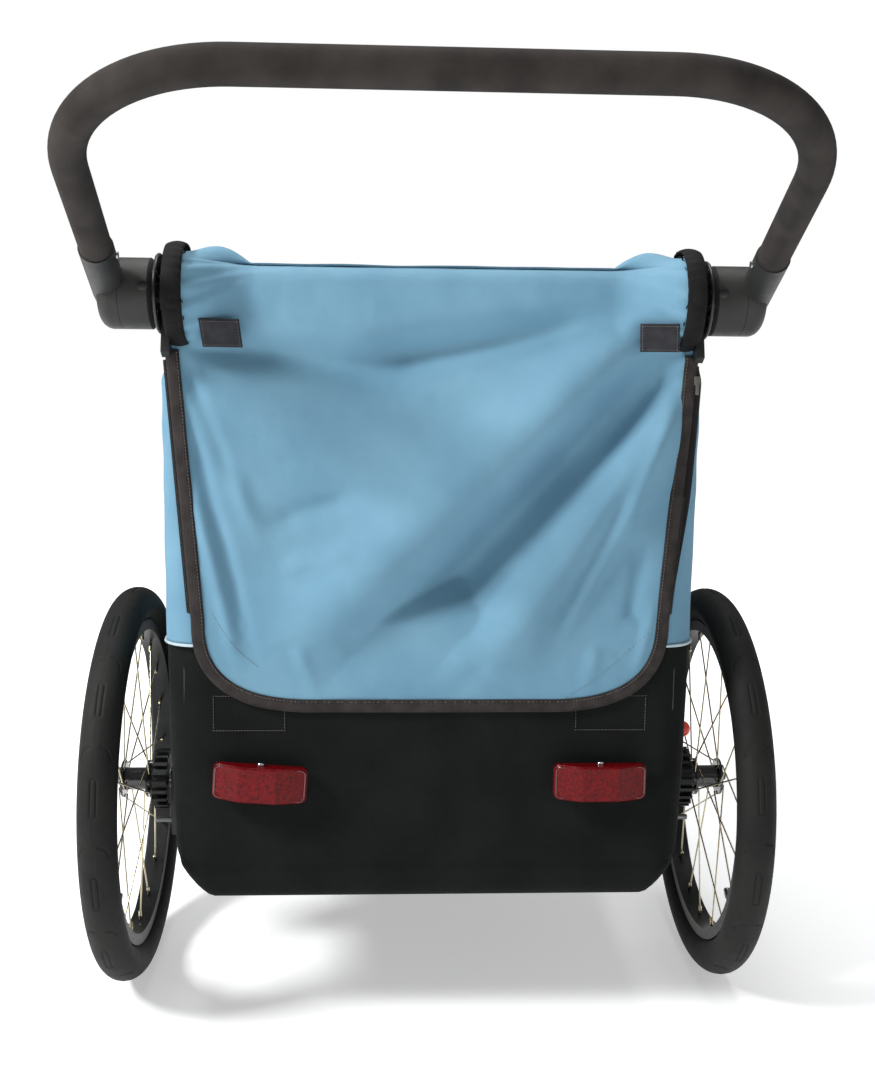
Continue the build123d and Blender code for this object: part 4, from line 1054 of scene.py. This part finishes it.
def tub_point(u, v):
    plan, out = tub_plan(u)
    sideways = abs(out.x)
    foot_r = mix(mix(26, 46, ease(plan.y, 0, TUB_NOSE)), 60, sideways) * MM
    top = lower_line(plan.y) - 0.8 * MM
    if v < WALL_SHARE:
        z, inset = mix(top, TUB_LOW + foot_r, v / WALL_SHARE), 0
    elif v < BEND_SHARE:
        turn = (v - WALL_SHARE) / (BEND_SHARE - WALL_SHARE) * pi / 2
        z, inset = TUB_LOW + foot_r * (1 - sin(turn)), foot_r * (1 - cos(turn))
    else:
        z, inset = TUB_LOW, foot_r
    flare = 9 * MM * (z - TUB_LOW) / (SEAM_Z - TUB_LOW) * out.x
    rise = (z - TUB_LOW) / (SEAM_Z - TUB_LOW)
    crease = -1.8 * MM * exp(-((z - TUB_LOW - 44 * MM) / (2.4 * MM)) ** 2)
    crease += 1.0 * MM * exp(-((z - TUB_LOW - 36 * MM) / (8 * MM)) ** 2)
    drape = 1.3 * MM * ripple((plan.x, plan.y, z), 70 * MM, 11) * sin(pi * min(1, max(0, rise)))
    belly = 2.2 * MM * sin(pi * min(1, max(0, rise))) * sideways * (1 - ease(plan.y, 0.2, 0.5))
    push = (crease + belly + drape if v < BEND_SHARE else 0) - 0.6 * MM
    spot = plan - out * inset + out * push
    if v > BEND_SHARE:
        t = (v - BEND_SHARE) / (1 - BEND_SHARE)
        spine = Vector((0, min(TUB_NOSE - 0.26, max(TUB_REAR + 0.26, plan.y))))
        spot = spot.lerp(spine, t)
        z += 1.2 * MM * ripple((spot.x, spot.y, 0), 60 * MM, 4) * sin(pi * t)
    return round_foot(Vector((spot.x + flare, spot.y, z)))


TUB_FOOT_R = 60 * MM


def round_foot(point):
    """Draws a point in to the tub's rounded lower corner."""
    middle_x, middle_z = TUB_HALF - TUB_FOOT_R - 4 * MM, TUB_LOW + TUB_FOOT_R
    aside, below = abs(point.x) - middle_x, middle_z - point.z
    reach = hypot(aside, below)
    if aside > 0 and below > 0 and reach > TUB_FOOT_R:
        point.x = (1 if point.x > 0 else -1) * (middle_x + aside * TUB_FOOT_R / reach)
        point.z = middle_z - below * TUB_FOOT_R / reach
    return point


def make_tub():
    """Black sewn tub with two boxes of stitching on its back."""
    skin = sheet("tub_skin", 260, 84, tub_point, (2.6, 0.55), None, True)
    if skin.data.polygons[0].normal.dot(Vector((0, -1, 0))) < 0:
        edit(skin, (bpy.ops.mesh.flip_normals, {}))
    thicken(skin, 2.0 * MM)
    dress(skin, TUB_CLOTH, "chassis")
    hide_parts("tub_side_left", "tub_side_right", "tub_back", "tub_nose", "tub_floor")
    boxes = []
    for x0, x1 in ((-246, -166), (166, 246)):
        corners = ((x0, 372), (x1, 372), (x1, 412), (x0, 412))
        for (xa, za), (xb, zb) in zip(corners, corners[1:] + corners[:1]):
            count = int(hypot(xb - xa, zb - za) / 3.4)
            for i in range(count):
                x, z = mix(xa, xb, i / count) * MM, mix(za, zb, i / count) * MM
                turn = 0 if za == zb else pi / 2
                boxes.append(Matrix.Translation((x, TUB_REAR + 0.1 * MM, z)) @ Matrix.Rotation(turn, 4, "Y"))
    stitch = block("stitch", (2.2 * MM, 0.9 * MM, 0.6 * MM), (0, 0, 0), 0.2 * MM, 1)
    sewn = row_of("tub_box_stitches", stitch, boxes)
    dress(sewn, DARK_THREAD, "chassis")


# ---- tyres ----
TREAD_REPEATS = 14
WHEEL_MM = 250               # wheel radius in millimetres
FAR_OFF = 99                 # a distance no groove reaches


def groove_depth(along, across):
    """Depth of the tread's grooves at a place, in millimetres along and across the tyre."""
    pitch = 2 * pi * WHEEL_MM / TREAD_REPEATS
    local = (along + pitch / 2) % pitch - pitch / 2
    far = max(0, abs(local) - 18)
    slot = abs(hypot(far, across) - 3.4)
    other = (along % pitch) - pitch / 2
    arcs = FAR_OFF
    if abs(across) > 5 and other >= -13:
        arcs = abs(hypot(other + 12, abs(across) - 5) - 13)
    centre = abs(across) if abs(local) > 25 and abs(other) > 6 else FAR_OFF
    cut = 1.3 * exp(-(slot / 0.95) ** 2) + 1.3 * exp(-(arcs / 0.95) ** 2)
    return cut + 0.3 * exp(-(centre / 0.8) ** 2)


def tyre_point(side, u, v):
    turn = 2 * pi * u
    section_r = 22.25 * MM
    tread_part = 0.70
    wide = radians(78)
    if v < tread_part:
        bend = mix(-wide, wide, v / tread_part)
    else:
        bend = mix(wide, 2 * pi - wide, (v - tread_part) / (1 - tread_part))
    across = bend * section_r / MM
    cut = groove_depth(turn * WHEEL_MM, across) if abs(bend) < wide * 0.96 else 0
    radius = section_r - cut * MM
    ring = AXLE.z - section_r + radius * cos(bend)
    x = AXLE.x + radius * sin(bend)
    return Vector((side * x, AXLE.y + ring * sin(turn), AXLE.z + ring * cos(turn)))


def make_tyres():
    for side, name in ((-1, "left"), (1, "right")):
        tyre = sheet(f"treaded_tyre_{name}", 1040, 64, lambda u, v: tyre_point(side, u, v),
                     (1.57, 0.14), None, True)
        smooth(tyre, 80)
        dress(tyre, TYRE_RUBBER, f"wheel_{name}")
        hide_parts(f"tyre_{name}")
        valve_at = Vector((side * AXLE.x, AXLE.y, AXLE.z))
        stem = disc("stem", 3 * MM, 34 * MM, (0, 0, 0), "Z", 0.8 * MM, 20)
        cap = disc("cap", 4 * MM, 12 * MM, (0, 0, -14 * MM), "Z", 1.2 * MM, 20)
        valve = merge("valve", [stem, cap])
        valve = row_of(f"valve_{name}", valve, [Matrix.Translation(valve_at) @ Matrix.Rotation(2.3, 4, "X")
                                                @ Matrix.Translation((0, 0, 180 * MM))])
        dress(valve, PIN_STEEL, f"wheel_{name}")
        nipples = []
        for index in range(20):
            nipples.append(Matrix.Translation(valve_at) @ Matrix.Rotation(-index * 2 * pi / 20, 4, "X")
                           @ Matrix.Translation((0, 0, 187 * MM)))
        nipple = disc("nipple", 2.1 * MM, 12 * MM, (0, 0, 0), "Z", 0.5 * MM, 12)
        nipple_row = row_of(f"spoke_nipples_{name}", nipple, nipples)
        dress(nipple_row, SPOKE_STEEL, f"wheel_{name}")


# ---- reflectors ----
def make_reflectors():
    for name in ("left", "right"):
        low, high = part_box(f"reflector_{name}")
        at = (low + high) / 2
        lean = radians(4) if name == "left" else 0
        wide, tall = 106 * MM, 41 * MM
        back_y = TUB_REAR - 7 * MM
        lens = lens_body(f"reflector_lens_{name}", wide, tall)
        lens.location = (at.x, back_y, at.z)
        lens.rotation_euler = (0, lean, 0)
        settle(lens)
        dress(lens, REFLECTOR_RED, "chassis")
        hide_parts(f"reflector_{name}")
        outline = []
        for x, z in rounded_rectangle(wide / 2 - 2.5 * MM, tall / 2 - 2.5 * MM, 6 * MM):
            outline.append(Vector((x, -lens_depth(x, wide) - 0.2 * MM, z)))
        bead = piping(f"reflector_bead_{name}", outline, 1.0 * MM, True)
        bead.location = (at.x, back_y, at.z)
        bead.rotation_euler = (0, lean, 0)
        settle(bead)
        dress(bead, REFLECTOR_RIM, "chassis")
        foot = block(f"reflector_foot_{name}", (28 * MM, 9 * MM, 22 * MM),
                     (at.x, TUB_REAR - 3 * MM, at.z), 1.5 * MM)
        dress(foot, DARK_PLASTIC, "chassis")


def rounded_rectangle(half_x, half_z, radius, steps=6):
    corners = ((1, 1, 0), (-1, 1, 90), (-1, -1, 180), (1, -1, 270))
    for sx, sz, first in corners:
        for i in range(steps + 1):
            turn = radians(first + 90 * i / steps)
            yield (sx * (half_x - radius) + radius * cos(turn), sz * (half_z - radius) + radius * sin(turn))


def lens_depth(x, wide):
    """Depth of the three-faced lens at a place across it."""
    left, right = -wide / 2 + 30 * MM, wide / 2 - 34 * MM
    if x < left:
        return mix(10 * MM, 24 * MM, (x + wide / 2) / (left + wide / 2))
    if x > right:
        return mix(24 * MM, 10 * MM, (x - right) / (wide / 2 - right))
    return 24 * MM


def lens_body(name, wide, tall):
    """Three-faced lens with rounded corners."""
    front = [Vector((x, 0, z)) for x, z in rounded_rectangle(wide / 2, tall / 2, 7 * MM)]
    rings = ((0.0, 1.5 * MM), (0.35, 0.0), (0.86, 0.0), (1.0, 1.8 * MM))
    points, faces = [], []
    cuts = [-wide / 2 + 30 * MM, wide / 2 - 34 * MM]
    loop = []
    for a, b in zip(front, front[1:] + front[:1]):
        loop.append(a)
        crossing = sorted((c for c in cuts if min(a.x, b.x) < c < max(a.x, b.x)), reverse=a.x > b.x)
        loop += [a.lerp(b, (c - a.x) / (b.x - a.x)) for c in crossing]
    for share, inset in rings:
        for p in loop:
            x = p.x * (1 - inset / (wide / 2))
            z = p.z * (1 - inset / (tall / 2))
            points.append((x, -lens_depth(x, wide) * share, z))
    count = len(loop)
    for ring in range(len(rings) - 1):
        for i in range(count):
            j = (i + 1) % count
            faces.append((ring * count + i, ring * count + j, (ring + 1) * count + j, (ring + 1) * count + i))
    faces.append(tuple(reversed(range(count))))
    mesh = bpy.data.meshes.new(name)
    mesh.from_pydata(points, [], faces)
    lens = bpy.data.objects.new(name, mesh)
    bpy.context.scene.collection.objects.link(lens)
    take(lens)
    bpy.ops.object.mode_set(mode="EDIT")
    bpy.ops.mesh.select_all(action="DESELECT")
    bpy.ops.mesh.select_mode(type="EDGE")
    bpy.ops.mesh.select_non_manifold()
    bpy.ops.mesh.fill()
    bpy.ops.mesh.select_all(action="SELECT")
    bpy.ops.mesh.normals_make_consistent(inside=False)
    bpy.ops.object.mode_set(mode="OBJECT")
    smooth(lens, 15)
    return lens


# ---- seat ----
def pad(name, low, high, grow, voxel=5 * MM, pressure=4.0):
    """Stuffed cushion, swollen by cloth simulation from a box a little smaller than its space."""
    size = high - low
    cushion = block(name, (size.x, size.y, size.z), (low + high) / 2, min(size) * 0.30, 4)
    apply_modifier(cushion, "REMESH", mode="VOXEL", voxel_size=voxel)
    before = [vertex.co.copy() for vertex in cushion.data.vertices]
    take(cushion)
    swell = cushion.modifiers.new("Cloth", "CLOTH")
    swell.settings.use_pressure = True
    swell.settings.uniform_pressure_force = pressure
    swell.settings.effector_weights.gravity = 0
    for step in range(1, 13):
        bpy.context.scene.frame_set(step)
    bpy.ops.object.modifier_apply(modifier=swell.name)
    bpy.context.scene.frame_set(1)
    for vertex, start in zip(cushion.data.vertices, before):
        move = vertex.co - start
        if move.length > grow:
            vertex.co = start + move * (grow / move.length)
    return cushion


def make_seat():
    low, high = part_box("seat_bench")
    inset = Vector((7, 7, 7)) * MM
    bench = pad("seat_cushion", low + inset, high - inset, 9 * MM)
    top = high.z - 8 * MM
    for vertex in bench.data.vertices:
        if vertex.co.z > top - 12 * MM:
            near = min(abs(vertex.co.x - x * MM) for x in (0, -150, 150))
            vertex.co.z -= 5 * MM * exp(-(near / (7 * MM)) ** 2)
    apply_modifier(bench, "SUBSURF", levels=1, render_levels=1)
    smooth(bench, 80)
    dress(bench, SEAT_CLOTH, "chassis")
    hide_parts("seat_bench")

    low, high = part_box("seat_back")
    foot = Vector((0, high.y - 9 * MM, low.z + 6 * MM))
    head = Vector((0, low.y + 9 * MM, high.z - 8 * MM))
    length = (head - foot).length
    back = pad("seat_back_pad", Vector((-218 * MM, -2 * MM, 0)), Vector((218 * MM, 8 * MM, length)), 4 * MM)
    for vertex in back.data.vertices:
        near = min(abs(vertex.co.z - length * share) for share in (0.22, 0.42, 0.62, 0.82))
        near_x = abs(vertex.co.x)
        dent = 3.5 * MM * exp(-(near / (6 * MM)) ** 2) + 3.5 * MM * exp(-(near_x / (6 * MM)) ** 2)
        if vertex.co.y > 3 * MM:
            vertex.co.y -= dent
    lean = atan2(head.y - foot.y, head.z - foot.z)
    back.rotation_euler = (-lean, 0, 0)
    back.location = foot
    settle(back)
    apply_modifier(back, "SUBSURF", levels=1, render_levels=1)
    smooth(back, 80)
    dress(back, SEAT_CLOTH, "chassis")
    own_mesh(back)
    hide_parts("seat_back")
    make_harness(foot, head)


def make_harness(foot, head):
    """Two five-point harnesses: shoulder straps, hip straps, a crotch strap and a buckle each."""
    slope = (head - foot).normalized()
    out = Vector((0, slope.z, -slope.y))
    for seat, name in ((-1, "left"), (1, "right")):
        middle_x = seat * 112 * MM
        buckle = foot + slope * 95 * MM + out * 52 * MM + Vector((middle_x, 0, 0))
        for hand in (-1, 1):
            anchor = foot + slope * 330 * MM + out * 13 * MM + Vector((middle_x + hand * 45 * MM, 0, 0))
            hip = foot + slope * 30 * MM + out * 14 * MM + Vector((middle_x + hand * 80 * MM, 0, 12 * MM))
            chest = foot + slope * 200 * MM + out * 30 * MM + Vector((middle_x + hand * 34 * MM, 0, 0))
            strap(f"shoulder_strap_{name}_{'inner' if hand * seat < 0 else 'outer'}",
                  [anchor, chest, buckle + Vector((hand * 12 * MM, 0, 8 * MM))], 25 * MM)
            strap(f"hip_strap_{name}_{'inner' if hand * seat < 0 else 'outer'}",
                  [hip, (hip + buckle) / 2 + out * 8 * MM,
                   buckle + Vector((hand * 16 * MM, 0, -4 * MM))], 22 * MM)
        crotch = Vector((middle_x, foot.y + 95 * MM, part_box("seat_bench")[1].z + 2 * MM))
        bow = (crotch + buckle) / 2 + Vector((0, 14 * MM, 4 * MM))
        strap(f"crotch_strap_{name}", [crotch, bow, buckle], 28 * MM)
        clip = block(f"harness_buckle_{name}", (44 * MM, 14 * MM, 46 * MM), buckle, 5 * MM)
        button = block("press", (20 * MM, 5 * MM, 16 * MM), buckle + Vector((0, 7 * MM, 0)), 2 * MM)
        clip = merge(f"harness_buckle_{name}", [clip, button])
        dress(clip, DARK_PLASTIC, "chassis")
        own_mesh(clip)


def strap(name, knots, width):
    """Flat webbing through three knots, as one smooth bow."""
    a, b, c = knots

    def place(u, v):
        spot = a * (1 - u) ** 2 + b * 2 * u * (1 - u) + c * u ** 2
        return spot + Vector(((v - 0.5) * width, 0, 0))

    length = (a - b).length + (b - c).length
    band = thicken(sheet(name, 24, 4, place, (length, width), (0, 1, 0.3)), 1.8 * MM, 0)
    dress(band, WEBBING, "chassis")
    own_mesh(band)


# ---- camera, floor and light ----
def make_studio():
    camera_data = bpy.data.cameras.new("camera")
    camera = bpy.data.objects.new("camera", camera_data)
    bpy.context.scene.collection.objects.link(camera)
    camera.location = (-54.6 * MM, AXLE.y - 1585.5 * MM, 765.1 * MM)
    aim = Vector((0.0467, 0.9897, -0.1356))
    roll = Matrix.Rotation(radians(0.6), 4, "Z")
    camera.rotation_euler = (aim.to_track_quat("-Z", "Y").to_matrix().to_4x4() @ roll).to_euler()
    camera_data.lens = 41.2
    camera_data.shift_x = -0.0041
    camera_data.shift_y = 0.008
    bpy.context.scene.camera = camera

    start_new()
    bpy.ops.mesh.primitive_plane_add(size=14)
    floor = bpy.context.active_object
    floor.name = "studio_floor"
    paper = Finish("floor_paper", "f8f9fa", "f6f7f8", 0.8, 0.02, 2)
    paper.shader.inputs["Emission Color"].default_value = colour("ffffff")
    away = paper.nodes.new("ShaderNodeVectorMath")
    away.operation = "LENGTH"
    glow = paper.nodes.new("ShaderNodeMapRange")
    for socket, value in (("From Min", 1.0), ("From Max", 2.4), ("To Min", 0.42), ("To Max", 1.0)):
        glow.inputs[socket].default_value = value
    paper.links.new(paper.where.outputs["Object"], away.inputs[0])
    paper.links.new(away.outputs["Value"], glow.inputs["Value"])
    paper.links.new(glow.outputs["Result"], paper.shader.inputs["Emission Strength"])
    floor.data.materials.append(paper.grain(40, 0.05 * MM).material)
    world = bpy.data.worlds.new("studio")
    world.use_nodes = True
    tree = world.node_tree
    tree.nodes["Background"].inputs["Color"].default_value = colour("ffffff")
    rays = tree.nodes.new("ShaderNodeLightPath")
    level = tree.nodes.new("ShaderNodeMapRange")
    level.inputs["To Min"].default_value = 0.24
    level.inputs["To Max"].default_value = 1.0
    tree.links.new(rays.outputs["Is Camera Ray"], level.inputs["Value"])
    tree.links.new(level.outputs["Result"], tree.nodes["Background"].inputs["Strength"])
    bpy.context.scene.world = world
    lamps = (("key", (-2.4, -1.3, 2.5), 0.7, 122), ("fill", (1.9, -2.2, 1.3), 2.0, 3),
             ("top", (0.0, 0.3, 3.2), 1.6, 50))
    for name, place, size, power in lamps:
        lamp = bpy.data.lights.new(name, "AREA")
        lamp.size = size
        lamp.energy = power
        light = bpy.data.objects.new(name, lamp)
        bpy.context.scene.collection.objects.link(light)
        light.location = place
        light.rotation_euler = (Vector((0, 0, 0.55)) - Vector(place)).to_track_quat("-Z", "Y").to_euler()
    bpy.context.scene.view_settings.view_transform = "Standard"


make_studio()
finish_cad_nodes()
make_flap()
for turn_side, side_name in ((-1, "left"), (1, "right")):
    make_side(turn_side, side_name)
make_roof()
make_cuffs()
make_front()
make_tub()
make_tyres()
make_reflectors()
make_seat()
